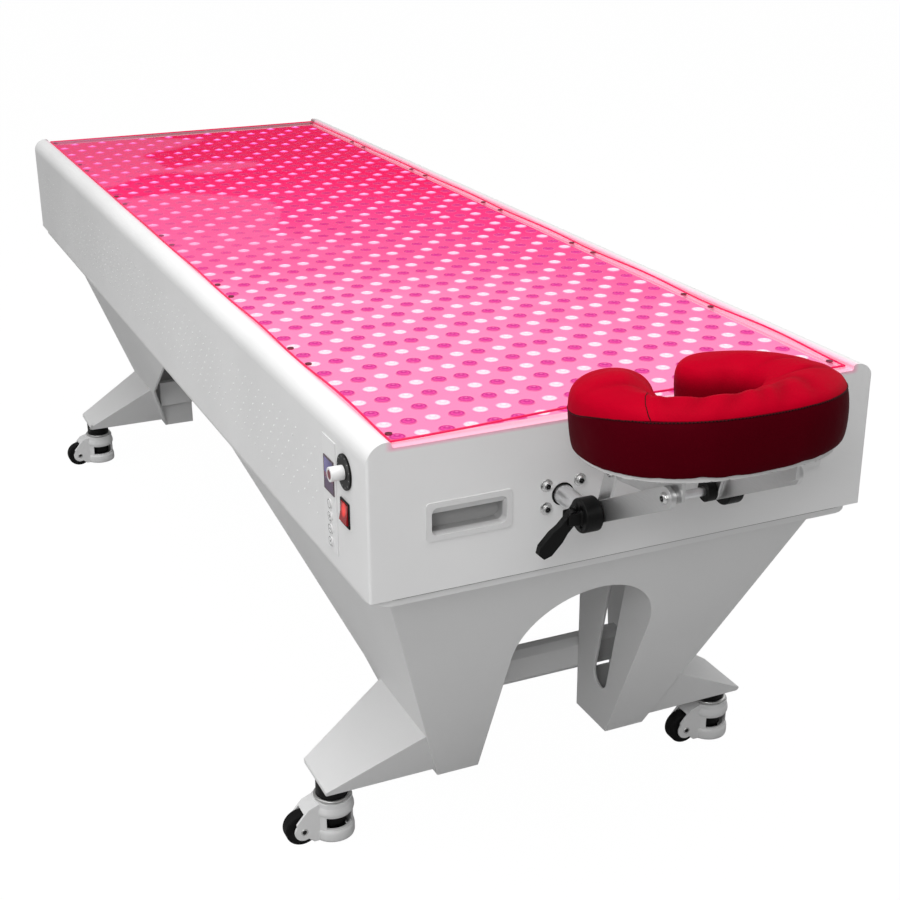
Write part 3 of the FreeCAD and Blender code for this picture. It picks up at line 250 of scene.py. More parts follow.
# %% Floor, lamps and world
scene = bpy.context.scene
scene.view_settings.view_transform = "Standard"
FLOOR_GLOW = 1.03
FLOOR_SEEN = 0.96
AMBIENT = 0.33


def area_lamp(name, spot, target, side, power):
    """Square lamp of a given side at a spot, turned so that its face looks at a target."""
    data = bpy.data.lights.new(name, "AREA")
    data.shape = "SQUARE"
    data.size = side
    data.energy = power
    lamp = bpy.data.objects.new(name, data)
    turn = (Vector(target) - Vector(spot)).to_track_quat("-Z", "Y")
    lamp.matrix_world = Matrix.Translation(Vector(spot)) @ turn.to_matrix().to_4x4()
    scene.collection.objects.link(lamp)


def mesh_piece(name, points, faces, material, smooth=True):
    """Object at the origin from an array of points and an array or list of faces."""
    data = bpy.data.meshes.new(name)
    faces = faces.tolist() if isinstance(faces, np.ndarray) else faces
    data.from_pydata(np.asarray(points, float).reshape(-1, 3).tolist(), [], faces)
    data.materials.append(material)
    data.shade_smooth() if smooth else data.shade_flat()
    data.update()
    piece = bpy.data.objects.new(name, data)
    scene.collection.objects.link(piece)
    return piece


def studio_floor(size):
    """Flat pale sheet under the bed, lit up for the camera alone."""
    paint = Paint("floor_pale", roughness=0.9, base_color=grey(0.46))
    seen = paint.node("ShaderNodeLightPath", out=0)
    white = paint.node("ShaderNodeEmission", None, {"Color": grey(1.0), "Strength": FLOOR_GLOW})
    own = Wire(paint, paint.shader.outputs[0])
    both = paint.node("ShaderNodeMixShader", None, {0: seen * FLOOR_SEEN, 1: own, 2: white})
    paint.tree.links.new(both.socket, paint.tree.nodes["Material Output"].inputs[0])
    corners = np.array([(-1, -1, 0), (1, -1, 0), (1, 1, 0), (-1, 1, 0)], float) * size
    floor = mesh_piece("floor", corners, [(0, 1, 2, 3)], paint.material, smooth=False)


MIDDLE = (0.0, 0.0, 0.5)
HEAD_END = (0.0, head_y, 0.5)
area_lamp("top_lamp", (-0.4, -0.6, 4.0), MIDDLE, 3.4, 128.0)
area_lamp("left_lamp", (-3.4, 0.1, 2.2), MIDDLE, 2.2, 21.0)
area_lamp("right_lamp", (3.4, 0.2, 1.7), MIDDLE, 2.2, 16.0)
area_lamp("front_lamp", (-1.9, head_y - 2.1, 2.4), HEAD_END, 1.6, 40.0)
studio_floor(14.0)
world = bpy.data.worlds.new("studio")
scene.world = world
world.use_nodes = True
sky = world.node_tree
glow = sky.nodes["Background"]
seen = sky.nodes.new("ShaderNodeBackground")
for part, strength in ((glow, AMBIENT), (seen, 1.0)):
    part.inputs["Color"].default_value = (1.0, 1.0, 1.0, 1.0)
    part.inputs["Strength"].default_value = strength
path = sky.nodes.new("ShaderNodeLightPath")
pick = sky.nodes.new("ShaderNodeMixShader")
for k, output in enumerate((path.outputs["Is Camera Ray"], glow.outputs[0], seen.outputs[0])):
    sky.links.new(output, pick.inputs[k])
sky.links.new(pick.outputs[0], sky.nodes["World Output"].inputs[0])

# %% [markdown]
# The housing is moulded in white plastic with a very fine grain: two layers of noise make
# the grain in the bump and a faint cloudiness in colour and gloss. The trestles are sheet
# steel with a powder coat, which has a softer, larger ripple called orange peel.

# %% Moulded white and powder coat


def moulded(name, colour, rough, grain=1400.0, gloss=0.45, pink=None, gap=None):
    """Moulded plastic: fine grain and slow clouds; if asked, a painted pink glow of the deck's
    light by the deck and a painted shadow band at the top.
    """
    paint = Paint(name, roughness=rough, specular_ior_level=gloss)
    spot, (x, y, z) = paint.place()
    cloud = paint.noise(spot, 3.5, 2.0)
    fine = paint.noise(spot, grain, 2.0)
    dull = tuple(c * 0.94 for c in colour)
    tone = paint.mix(cloud.smooth(0.3, 0.7), colour, dull)
    if pink:
        # Painted light: by the deck the white is tinted with the deck's pink glow, turning to deep
        # red painted shade at the foot end.
        deck_z, inner_x, outer_x = pink
        across = x.alone("ABSOLUTE")
        near = z.smooth(deck_z - 0.006, deck_z) * (1.0 - across.smooth(inner_x, outer_x))
        far = y.smooth(foot_y - 0.03, foot_y - 0.02)
        lit = paint.mix(far, (0.95, 0.34, 0.52), (0.2, 0.0, 0.03))
        tone = paint.mix(near * 0.75, tone, lit)
    # Painted shadow: a dark band along the top, standing for the shade under an overhang.
    if gap:
        tone = paint.mix(z.smooth(gap - 0.0004, gap), tone, grey(0.14))
    return paint.done(tone, rough - 0.05 + cloud * 0.1, (fine, 0.12, 0.0004))


def powder(name, colour):
    """Powder coat: orange peel at about 3 mm, a finer speckle and a satin gloss."""
    paint = Paint(name, roughness=0.48, specular_ior_level=0.5)
    spot, _ = paint.place()
    peel = paint.noise(spot, 320.0, 2.0)
    speck = paint.noise(spot, 1500.0, 1.0)
    cloud = paint.noise(spot, 2.2, 2.0)
    dull = tuple(c * 0.93 for c in colour)
    return paint.done(
        paint.mix(cloud.smooth(0.35, 0.65), colour, dull),
        0.4 + peel * 0.16,
        (peel * 0.7 + speck * 0.3, 0.18, 0.0005),
    )


def cup_plastic():
    """Handle cup: light rim and finger lip, with painted shade that darkens it as it goes deeper
    behind the wall.
    """
    paint = Paint("cup_plastic", roughness=0.5, specular_ior_level=0.35)
    spot, (_, y, _) = paint.place()
    grain = paint.noise(spot, 900.0, 2.0)
    # Painted shade: the deeper into the recess, the darker the cup.
    deep = (y - head_y).smooth(0.0095, 0.014)
    return paint.done(
        paint.mix(deep, grey(0.7), grey(0.4)),
        0.45 + grain * 0.12,
        (grain, 0.3, 0.0005),
    )


deck_z = float(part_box("cover_sheet")[0][2])
side_x = float(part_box("housing_shell")[1][0])
sheet_x = float(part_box("cover_sheet")[1][0])
white_shell = moulded(
    "white_shell", grey(0.80), 0.42, pink=(deck_z, sheet_x + 0.002, sheet_x + 0.014)
)
tray_top = float(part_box("base_tray")[1][2])
# The tray's top band is painted dark: the shadow under the housing's overhang.
SHADOW_BAND = 3.2 * MM
tray_white = moulded("tray_white", grey(0.74), 0.45, gap=tray_top - SHADOW_BAND)
caster_nylon = moulded("caster_nylon", grey(0.72), 0.32, 900.0)
black_mould = moulded("black_mould", grey(0.005), 0.42, 900.0, 0.13)
CORNERS = ("head_left", "head_right", "foot_left", "foot_right")
wear(["housing_shell"], white_shell)
wear(["base_tray"], tray_white)
wear(["trestle_head", "trestle_foot"], powder("frame_coat", grey(0.72)))
wear(["stretcher_head", "stretcher_foot"], powder("bar_coat", grey(0.8)))
wear(["handle_cup_left", "handle_cup_right"], cup_plastic())
wear(["cradle_platform"], moulded("platform_white", grey(0.72), 0.45))
wear(["caster_body_" + c for c in CORNERS], caster_nylon)
wear(
    ["post_socket_left", "post_socket_right", "rocker_bezel", "power_inlet"]
    + ["caster_mounts", "cradle_hub_left", "cradle_hub_right", "rod_spacers", "cradle_lever"]
    + ["caster_adjuster_" + c for c in CORNERS],
    black_mould,
)

# %% [markdown]
# Metals: the posts and the tie rod are polished tube, the flat arms are satin bar with fine
# lines along their length, and the screws are zinc plated. Wheels and pads are black rubber.

# %% Metals and rubber


def metal(name, colour, rough, stretch):
    """Metal with fine lines: noise squeezed across one axis gives a drawn or rolled look."""
    paint = Paint(name, metallic=1.0, roughness=rough)
    spot, _ = paint.place()
    drawn = paint.node("ShaderNodeVectorMath", {"operation": "MULTIPLY"}, {0: spot, 1: stretch})
    lines = paint.noise(drawn, 1.0, 3.0)
    dull = tuple(c * 0.86 for c in colour)
    return paint.done(
        paint.mix(lines, colour, dull),
        rough - 0.06 + lines * 0.14,
        (lines, 0.08, 0.0002),
    )


def rubber(name, colour):
    """Rubber: dark, dull, with a dusty cloud and a fine grain."""
    paint = Paint(name, roughness=0.62, specular_ior_level=0.12)
    spot, _ = paint.place()
    dust = paint.noise(spot, 60.0, 4.0)
    grain = paint.noise(spot, 1200.0, 2.0)
    dusty = tuple(c * 1.8 + 0.002 for c in colour)
    return paint.done(
        paint.mix(dust.smooth(0.45, 0.8), colour, dusty),
        0.5 + dust * 0.25,
        (grain, 0.2, 0.0003),
    )


polished_tube = metal("polished_tube", (0.84, 0.84, 0.85), 0.3, (900.0, 60.0, 900.0))
satin_bar = metal("satin_bar", grey(0.74), 0.38, (1500.0, 90.0, 1500.0))
zinc_plate = metal("zinc_plate", (0.62, 0.62, 0.61), 0.3, (700.0, 700.0, 700.0))
wheel_rubber = rubber("wheel_rubber", grey(0.005))
wear(["cradle_post_left", "cradle_post_right", "cradle_rod"], polished_tube)
wear([p + h for p in ("cradle_arm_", "cradle_bracket_") for h in ("left", "right")], satin_bar)
wear(["socket_screws", "frame_bolts", "pivot_screws"], zinc_plate)
wear(["sheet_screws"], metal("screw_rosy", (0.34, 0.05, 0.09), 0.35, (700.0, 700.0, 700.0)))
wear(["driver_boxes"], metal("driver_sheet", (0.6, 0.61, 0.62), 0.4, (60.0, 900.0, 900.0)))
wear([p + c for p in ("caster_wheel_", "caster_pad_") for c in CORNERS], wheel_rubber)

# %% [markdown]
# The light deck: a reflector plate glows pink, paler near the head end where the eye looks
# down on it and deeper towards the foot end. The glow is part of the material, because the
# real plate is lit by its own lamps, not by the studio.

# %% Reflector plate and boards
bed_length = foot_y - head_y
DECK_TONES = [
    (0.0, (0.98, 0.25, 0.47)), (0.13, (0.97, 0.23, 0.45)), (0.28, (0.95, 0.12, 0.32)),
    (0.52, (0.9, 0.03, 0.2)), (0.8, (0.82, 0.0, 0.1)), (1.0, (0.7, 0.0, 0.06)),
]


def along_bed(paint):
    """Share of the bed's length, 0 at the head end and 1 at the foot end."""
    _, (_, y, _) = paint.place()
    return (y - head_y) / bed_length


def reflector():
    """Pink reflector with painted glow: colour and glow deepen along the bed, with a slow mottling
    of painted reflection.
    """
    paint = Paint("reflector_pink", roughness=0.5, emission_strength=0.8, specular_ior_level=0.05)
    spot, (x, _, _) = paint.place()
    share = along_bed(paint)
    # Painted reflection: the slow cloud stands for pale reflections on the plate; the slant shifts
    # the painted glow from left to right near the head end.
    cloud = paint.noise(spot, 2.6, 3.0)
    slant = x * 0.55 * (1.0 - share)
    level = (share * 0.9 + cloud * 0.3 - 0.12 + slant).smooth(0.0, 1.0)
    tone = paint.ramp(DECK_TONES, level)
    return paint.shine(tone, paint.mix(0.7, tone, grey(0.0)))


wear(["led_plate"], reflector())
wear(["led_boards"], moulded("board_green", (0.05, 0.22, 0.1), 0.5))
print("deck glow assigned over", round(bed_length, 3), "m")

# %% [markdown]
# Each lamp is a shallow lens in a raised ring. A lens is a profile turned about its own
# axis; the same small grid is copied to every place with one numpy sum. Every second lens
# is lit, row by row, and the pattern starts again at the second bank of boards.

# %% Lenses


def grid_faces(rows, columns, wrap_rows=False, wrap_columns=False):
    """Quads of a rows by columns grid of points, closed round either way if asked."""
    r = np.arange(rows if wrap_rows else rows - 1)
    c = np.arange(columns if wrap_columns else columns - 1)
    r, c = np.meshgrid(r, c, indexing="ij")
    r2 = (r + 1) % rows
    c2 = (c + 1) % columns
    quads = np.stack([r * columns + c, r * columns + c2, r2 * columns + c2, r2 * columns + c], -1)
    return quads.reshape(-1, 4)


def copies(points, faces, places):
    """One shape repeated at every place: points are added, face numbers are shifted."""
    count = len(points)
    every = (points[None, :, :] + places[:, None, :]).reshape(-1, 3)
    shift = (np.arange(len(places)) * count)[:, None, None]
    return every, (faces[None, :, :] + shift).reshape(-1, faces.shape[-1])


def turned(profile, turns):
    """Profile of (radius, height) pairs carried round the Z axis, as a grid of points."""
    angle = np.arange(turns) * 2 * np.pi / turns
    radius, height = np.asarray(profile, float).T
    x = radius[:, None] * np.cos(angle)[None, :]
    y = radius[:, None] * np.sin(angle)[None, :]
    z = np.repeat(height[:, None], turns, 1)
    faces = grid_faces(len(radius), turns, wrap_columns=True)
    return np.stack([x, y, z], -1).reshape(-1, 3), faces


def facing(points, way):
    """Points of a piece made along Z, turned so that Z looks to one side of the bed."""
    x, y, z = points.T
    turns = {"front": (x, -z, y), "back": (-x, z, y), "left": (-z, -x, y), "right": (z, x, y)}
    return np.stack(turns[way], -1)


def note(piece, name, values):
    """Keep one number per point of a piece, for its material to read."""
    layer = piece.data.attributes.new(name, "FLOAT", "POINT")
    layer.data.foreach_set("value", np.asarray(values, np.float32))


def studs(name, shape, places, material, body, slot, way=None, **marks):
    """Turned shape repeated at every place; each mark keeps one number per ring for the paint."""
    points, faces = shape
    points = facing(points, way) if way else points
    piece = mesh_piece(name, *copies(points, faces, places), material)
    for mark, rings in marks.items():
        note(piece, mark, np.tile(np.repeat(rings, len(points) // len(rings)), len(places)))
    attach(piece, body)
    return piece


LENS_TURNS = 14
plate_top = float(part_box("led_plate")[1][2])
# Profile of the lens in millimetres, from the outer foot over the ring to the middle.
LENS_PROFILE = np.array(
    [(10.6, 0.0), (10.2, 1.2), (8.8, 1.3), (7.9, 0.5), (6.0, 1.9), (3.2, 2.7), (0.05, 3.0)]
)
lens = turned(LENS_PROFILE * MM, LENS_TURNS)
lens_reach = LENS_PROFILE[:, 0] / LENS_PROFILE[0, 0]
COLUMN_PITCH = 31.2 * MM
ROW_PITCH = 41.0 * MM
COLUMNS, ROWS, BANK_COLUMNS, BANK_ROWS = 20, 50, 5, 25
columns = (np.arange(COLUMNS) - (COLUMNS - 1) / 2) * COLUMN_PITCH
rows = (head_y + foot_y) / 2 + (np.arange(ROWS) - (ROWS - 1) / 2) * ROW_PITCH
column_grid, row_grid = np.meshgrid(np.arange(COLUMNS), np.arange(ROWS))
lit_mask = (column_grid % BANK_COLUMNS + row_grid % BANK_ROWS + 1) % 2 == 0
lens_places = np.stack(
    [columns[column_grid], rows[row_grid], np.full(column_grid.shape, plate_top)], -1
)


def lens_paint(name, near, far, glow):
    """Lens finish: ramps over the distance from the lens's own middle, blended along the bed."""
    paint = Paint(name, roughness=0.25, emission_strength=glow, specular_ior_level=0.2)
    reach = paint.noted("lens_radius")
    share = along_bed(paint).smooth(0.15, 0.95)
    tone = paint.mix(share, paint.ramp(near, reach), paint.ramp(far, reach))
    return paint.shine(tone, paint.mix(0.85, tone, grey(0.0)))


LIT_NEAR = [
    (0.0, (1.0, 0.9, 0.94)), (0.24, (1.0, 0.84, 0.9)), (0.36, (1.0, 0.66, 0.79)),
    (0.58, (1.0, 0.82, 0.88)), (0.78, (1.0, 0.68, 0.81)), (0.9, (1.0, 0.4, 0.63)),
    (1.0, (0.97, 0.22, 0.45)),
]
LIT_FAR = [
    (0.0, (1.0, 0.7, 1.0)), (0.4, (1.0, 0.27, 0.84)), (0.75, (1.0, 0.07, 0.52)),
    (1.0, (0.85, 0.0, 0.12)),
]
# The unlit lenses are no lamps: their emission is painted glow, the deck's pink light seen in and
# round them.
DARK_NEAR = [
    (0.0, (0.95, 0.16, 0.48)), (0.3, (0.6, 0.01, 0.24)), (0.6, (0.9, 0.06, 0.38)),
    (0.8, (0.6, 0.008, 0.24)), (1.0, (0.96, 0.16, 0.4)),
]
DARK_FAR = [
    (0.0, (0.74, 0.0, 0.12)), (0.4, (0.6, 0.0, 0.09)), (1.0, (0.8, 0.0, 0.1)),
]
for name, mask, near, far, glow in (
    ("lenses_lit", lit_mask, LIT_NEAR, LIT_FAR, 0.92),
    ("lenses_unlit", ~lit_mask, DARK_NEAR, DARK_FAR, 0.85),
):
    finish = lens_paint(name, near, far, glow)
    studs(name, lens, lens_places[mask], finish, "bed", "light_plate", lens_radius=lens_reach)
    print(name, int(mask.sum()), "lenses")

# %% [markdown]
# The clear sheet is one thin slab that lies on the deck. It isn't quite flat: between its
# screws the edges bow up by some millimetres, most of all at the head end. The slab is a
# grid whose height is that bow, doubled for the underside. Its cut edge collects the red
# light, so a narrow band round the rim glows deep red. Pale patches of painted reflection
# show where it mirrors.

# %% Clear sheet and its glowing edge
sheet_low, sheet_high = (np.array(v, float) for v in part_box("cover_sheet"))
BOW = 7.0 * MM
BOW_LENGTH = 0.16
SIDE_WAVE = 5.0 * MM
SCREW_PITCH = 0.33
WAVE_LENGTH = 0.9
WAVE_WIDTH = 0.05
UNDER_GAP = 0.2 * MM
# Rows of the grid lie closer together at the head end, where the bow is.
CROWDING = 1.6


def bow(x, y):
    """Lift of the sheet: a cosine bump across the head end that dies away along the bed,
    and along each side a squared sine between the screws that dies away inward."""
    half = (sheet_high[0] - sheet_low[0]) / 2
    across = np.cos(np.clip(x / half, -1, 1) * np.pi / 2) ** 2
    along = y - sheet_low[1]
    end = BOW * across * np.exp(-along / BOW_LENGTH)
    wave = np.sin(np.pi * along / SCREW_PITCH) ** 2 * np.exp(-along / WAVE_LENGTH)
    return end + SIDE_WAVE * wave * np.exp(-(half - np.abs(x)) / WAVE_WIDTH)


def clear_sheet():
    """Acrylic: faint pink and see-through, with a few large pale patches of painted reflection far
    down the bed.
    """
    paint = Paint("clear_acrylic", roughness=0.06, specular_ior_level=0.03)
    spot, (x, _, _) = paint.place()
    smear = paint.noise(spot, 5.0, 3.0)
    cloud = paint.noise(spot, 3.1, 1.0) - x * 0.4
    # Painted reflection: paler, less clear patches far down the bed.
    painted_reflection = cloud.smooth(0.56, 0.58) * along_bed(paint).smooth(0.35, 0.5)
    paint.feed("Alpha", 0.02 + painted_reflection * 0.19)
    paint.material.surface_render_method = "BLENDED"
    tone = paint.mix(smear, (0.9, 0.22, 0.46), (0.9, 0.18, 0.42))
    return paint.done(tone, 0.03 + smear * 0.1)


SHEET_ACROSS = 41
SHEET_ALONG = 121
sx = np.linspace(sheet_low[0], sheet_high[0], SHEET_ACROSS)
sy = sheet_low[1] + (sheet_high[1] - sheet_low[1]) * np.linspace(0, 1, SHEET_ALONG) ** CROWDING
gx, gy = np.meshgrid(sx, sy)
lift = bow(gx, gy)
top = np.stack([gx, gy, sheet_high[2] + lift], -1).reshape(-1, 3)
under = np.stack([gx, gy, sheet_low[2] + UNDER_GAP + lift], -1).reshape(-1, 3)
flat_faces = grid_faces(SHEET_ALONG, SHEET_ACROSS)
count = len(top)
index = np.arange(count).reshape(SHEET_ALONG, SHEET_ACROSS)
rim = np.concatenate([index[0, :], index[1:, -1], index[-1, -2::-1], index[-2:0:-1, 0]])
rim_next = np.roll(rim, -1)
side_faces = np.stack([rim, rim + count, rim_next + count, rim_next], -1)
faces = np.concatenate([flat_faces, flat_faces[:, ::-1] + count, side_faces])
sheet_piece = mesh_piece(
    "clear_sheet", np.concatenate([top, under]), faces, clear_sheet(), smooth=False
)
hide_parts("cover_sheet")
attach(sheet_piece, "bed")

edge_paint = Paint(
    "sheet_edge_red", roughness=0.3, base_color=(0.5, 0.0, 0.04), emission_strength=0.5
)
edge_spot, _ = edge_paint.place()
edge_tone = edge_paint.mix(edge_paint.noise(edge_spot, 14.0), (0.75, 0.0, 0.09), (0.5, 0.0, 0.05))
edge_paint.shine(edge_tone)
outline = top[rim]
middle = np.array([0.0, (sheet_low[1] + sheet_high[1]) / 2, 0.0])
outward = np.sign(outline - middle) * np.array([1.0, 1.0, 0.0])
on_side = np.isclose(np.abs(outline[:, 0]), sheet_high[0])
on_end = np.isclose(outline[:, 1], sheet_low[1]) | np.isclose(outline[:, 1], sheet_high[1])
outward[~on_side, 0] = 0.0
outward[~on_end, 1] = 0.0
# Section of the red edge in millimetres: outward and up from the rim.
EDGE_LOOP = np.array([(0.0, 0.3), (0.4, 0.0), (0.4, -2.2), (-0.6, -2.2), (-1.0, 0.3)]) * MM
ring = np.stack(
    [outline + outward * out + np.array([0.0, 0.0, up]) for out, up in EDGE_LOOP], 1
)
edge_faces = grid_faces(len(outline), len(EDGE_LOOP), wrap_rows=True, wrap_columns=True)
edge_piece = mesh_piece("sheet_edge", ring, edge_faces, edge_paint.material, smooth=False)
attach(edge_piece, "bed")
print("sheet rises", round(float(lift.max()) / MM, 1), "mm at the head end")

# %% [markdown]
# The face cushion is a stuffed horseshoe. Its form is a cross-section carried along a
# squarish ring that stays open towards the bed: each point is a centre-line point, plus a
# direction that swings round the two horn ends, times a width, plus a height. Cloth with a
# little air pressure then rounds it as stuffing does.

# %% Cushion form
CUSHION_X = 5.0 * MM
BAND = 47.0 * MM
WIDE = 110.0 * MM
DEEP = 85.0 * MM
REACH = 270.0 * MM
START_TURN = 35.0 * DEG
END_TURN = 303.0 * DEG
SQUARE = 2.5
TILT = 6.3 * DEG
cushion_y = head_y - REACH + DEEP + BAND
PLATFORM_Z = 686.0 * MM
REST_Z = PLATFORM_Z + 5.0 * MM
CUSHION_TALL = 79.0 * MM
SEAM_RISE = 0.83
SEAM_DIP = 0.2
DIP_FROM = 228.0 * DEG
DIP_OVER = 72.0 * DEG
ARC_STEPS, CAP_STEPS = 90, 17


def ring_line(turn):
    """Centre line and outward normal of a squarish ring at angles measured from +Y."""
    across, along = np.sin(turn), np.cos(turn)
    stretch = (np.abs(across) ** SQUARE + np.abs(along) ** SQUARE) ** (-1 / SQUARE)
    spot = np.stack([CUSHION_X + WIDE * stretch * across, cushion_y + DEEP * stretch * along], -1)
    steep = np.stack(
        [
            np.sign(across) * np.abs(across) ** (SQUARE - 1) / WIDE,
            np.sign(along) * np.abs(along) ** (SQUARE - 1) / DEEP,
        ],
        -1,
    )
    return spot, steep / np.linalg.norm(steep, axis=-1, keepdims=True)


def band_loop():
    """Centre points and directions once round: outer side, horn end, inner side, horn end."""
    turns = np.linspace(START_TURN, END_TURN, ARC_STEPS)
    spot, away = ring_line(turns)
    swing = np.linspace(0, np.pi, CAP_STEPS + 2)[1:-1, None]

    def horn(k, side):
        ahead = np.array([-away[k, 1], away[k, 0]]) * side
        ways = away[k] * np.cos(swing) + ahead * np.sin(swing)
        return np.repeat(spot[k][None], CAP_STEPS, 0), ways

    far_spot, far_way = horn(-1, -1)
    near_spot, near_way = horn(0, 1)
    spots = np.concatenate([spot, far_spot, spot[::-1], near_spot])
    ways = np.concatenate([away, far_way, -away[::-1], near_way[::-1]])
    return spots, ways


def seam_height(turn):
    """Height of the sewn edge over the underside: level, with a smooth dip to the left horn."""
    t = np.clip((turn - DIP_FROM) / DIP_OVER, 0, 1)
    return CUSHION_TALL * (SEAM_RISE - SEAM_DIP * t * t * (3 - 2 * t))


def leaning(points):
    """Points turned about a line across the cradle, so that the front edge rises."""
    y = points[..., 1] - cushion_y
    z = points[..., 2] - PLATFORM_Z
    c, s = math.cos(-TILT), math.sin(-TILT)
    return np.stack(
        [points[..., 0], cushion_y + y * c - z * s, PLATFORM_Z + y * s + z * c], -1
    )


def band_surface(section):
    """Cross-section of (width share, height in metres) pairs carried round the band."""
    spots, ways = band_loop()
    share, height = np.asarray(section, float).T
    flat = spots[None] + ways[None] * (share[:, None, None] * BAND)
    z = np.repeat((REST_Z + height)[:, None], len(spots), 1)
    points = leaning(np.concatenate([flat, z[..., None]], -1))
    return points, grid_faces(len(share), len(spots), wrap_columns=True)


# Cross-section from the middle of the underside, out, up the side and over the crown.
SECTION = np.array(
    [(0.0, 0.02), (0.5, 0.02), (0.78, 0.02), (0.89, 0.06), (0.97, 0.16), (1.03, 0.34)]
    + [(1.05, 0.56), (1.03, 0.74), (1.0, SEAM_RISE), (0.9, 0.93), (0.72, 0.98), (0.45, 1.0)]
    + [(0.0, 1.0)]
)
SECTION[:, 1] *= CUSHION_TALL
form_points, form_faces = band_surface(SECTION)
print("cushion form:", form_points.shape[:2], "points")

# %% [markdown]
# The cover is soft vinyl: crimson on top and inside, darker on the boxed outer side. The
# two colours meet at the sewn edge. Painted shade darkens the crimson in the creases and
# below the seam. Three attributes tell the paint where a point lies: its distance out
# from the band's centre line, its height over the seam and how deep it sits in a crease.
# Leather grain is a fine cell pattern.

# %% Cushion cover material


def vinyl():
    """Vinyl cover: dark red on the outer side below the seam, crimson elsewhere, with painted
    shade in the creases and low down, and grain.
    """
    paint = Paint("cushion_vinyl", roughness=0.55, specular_ior_level=0.012)
    spot, _ = paint.place()
    outward, rise, crease = (paint.noted(name) for name in ("outward", "rise", "crease"))
    boxed = outward.smooth(0.29, 0.33) * (1.0 - rise.smooth(-0.0008, 0.0008))
    low = 1.0 - rise.smooth(-0.02, 0.004)
    cloud = paint.noise(spot, 16.0, 3.0)
    crimson = paint.mix(cloud, (0.45, 0.0, 0.014), (0.36, 0.0, 0.011))
    # Painted shade: darker crimson in the creases, and darker still lower down, below the seam.
    crimson = paint.mix(crease * 0.45, crimson, (0.2, 0.0, 0.006))
    crimson = paint.mix(low * 0.8, crimson, (0.13, 0.0, 0.004))
    dark = paint.mix(cloud, (0.075, 0.0, 0.004), (0.055, 0.0, 0.003))
    cells = paint.node("ShaderNodeTexVoronoi", None, {"Vector": spot, "Scale": 700.0})
    slack = paint.noise(spot, 34.0, 2.0)
    wrinkled = cells * 0.15 + slack * 0.85
    return paint.done(paint.mix(boxed, crimson, dark), 0.44 + cloud * 0.16, (wrinkled, 0.3, 0.002))


cushion_cover = vinyl()

# %% [markdown]
# Now the stuffing. The form is merged, remeshed into even cells and given to the cloth
# solver with a small inside pressure and no gravity; twenty frames are enough. How far a
# point may move is capped, so the cushion stays in the space the CAD keeps for it.

# %% Stuff the cushion
VOXEL = 5.0 * MM
PRESSURE = 4.0
STIFFNESS = 30.0
FRAMES = 20
MOST = 9.0 * MM
REST_GAP = 0.6 * MM


def merged(piece, distance):
    """Weld close points of a piece and turn its faces outward."""
    work = bmesh.new()
    work.from_mesh(piece.data)
    bmesh.ops.remove_doubles(work, verts=work.verts, dist=distance)
    bmesh.ops.dissolve_degenerate(work, edges=work.edges, dist=distance / 10)
    bmesh.ops.recalc_face_normals(work, faces=work.faces)
    work.to_mesh(piece.data)
    work.free()
    piece.data.update()


def bake(piece):
    """Replace a piece's mesh by what its modifiers make of it."""
    graph = bpy.context.evaluated_depsgraph_get()
    fresh = bpy.data.meshes.new_from_object(piece.evaluated_get(graph))
    piece.modifiers.clear()
    old = piece.data
    piece.data = fresh
    bpy.data.meshes.remove(old)


def rows_of(items, key):
    """One row of three numbers for each point of a mesh: its place or its normal."""
    values = np.empty(len(items) * 3)
    items.foreach_get(key, values)
    return values.reshape(-1, 3)


def stuff(piece):
    """Blow the piece up with cloth pressure, capped, and keep the underside on its platform."""
    before = rows_of(piece.data.vertices, "co")
    cloth = piece.modifiers.new("stuffing", "CLOTH")
    setting = cloth.settings
    setting.use_pressure = True
    setting.uniform_pressure_force = PRESSURE
    setting.tension_stiffness = setting.compression_stiffness = STIFFNESS
    setting.bending_stiffness = 1.0
    setting.effector_weights.gravity = 0.0
    cloth.point_cache.frame_start = 1
    cloth.point_cache.frame_end = FRAMES
    for number in range(1, FRAMES + 1):
        scene.frame_set(number)
    graph = bpy.context.evaluated_depsgraph_get()
    after = rows_of(piece.evaluated_get(graph).to_mesh().vertices, "co")
    piece.modifiers.clear()
    scene.frame_set(1)
    move = after - before
    length = np.linalg.norm(move, axis=1, keepdims=True)
    move *= np.minimum(1.0, MOST / np.maximum(length, 1e-9))
    rest = before + move
    floor = REST_Z + REST_GAP - (rest[:, 1] - cushion_y) * math.tan(TILT)
    rest[:, 2] = np.maximum(rest[:, 2], floor)
    piece.data.vertices.foreach_set("co", rest.ravel())
    piece.data.update()
    return float(length.max())


LINE_TURNS = np.linspace(START_TURN, END_TURN, 360)
SEAM_PULL, SEAM_WIDTH = 2.6 * MM, 5 * MM
HORN_TURN, HORN_SPREAD = 298.0 * DEG, 24.0 * DEG
HORN_LIFT = 8.0 * MM
FRONT_TURN, FRONT_SPREAD = 215.0 * DEG, 60.0 * DEG
INNER_DROP = 22.0 * MM
SKIRT = 36.0 * MM
SKIRT_SAG = 14.0 * MM
SAG_FROM, SAG_OVER = 130.0 * DEG, 70.0 * DEG
PLATFORM_SHARE, PLATFORM_FADE = 0.72, 0.16
CREASE_FULL = 2.0 * MM
# Wrinkles: ring angle, slant in degrees, depth and width in millimetres.
WRINKLES = np.array(
    [(212, 10, 2.0, 8), (192, 16, 2.4, 9), (178, 8, 1.8, 7), (164, 14, 2.4, 9), (146, 10, 1.8, 8)]
    + [(118, -14, 2.2, 7), (232, -8, 1.6, 8), (274, 12, 1.4, 9), (84, 10, 1.4, 8)]
)


def bell(distance, width):
    """One at distance zero, falling to 1/e at the given width."""
    return np.exp(-((distance / width) ** 2))


def unit(value):
    """Value kept between 0 and 1."""
    return np.clip(value, 0, 1)


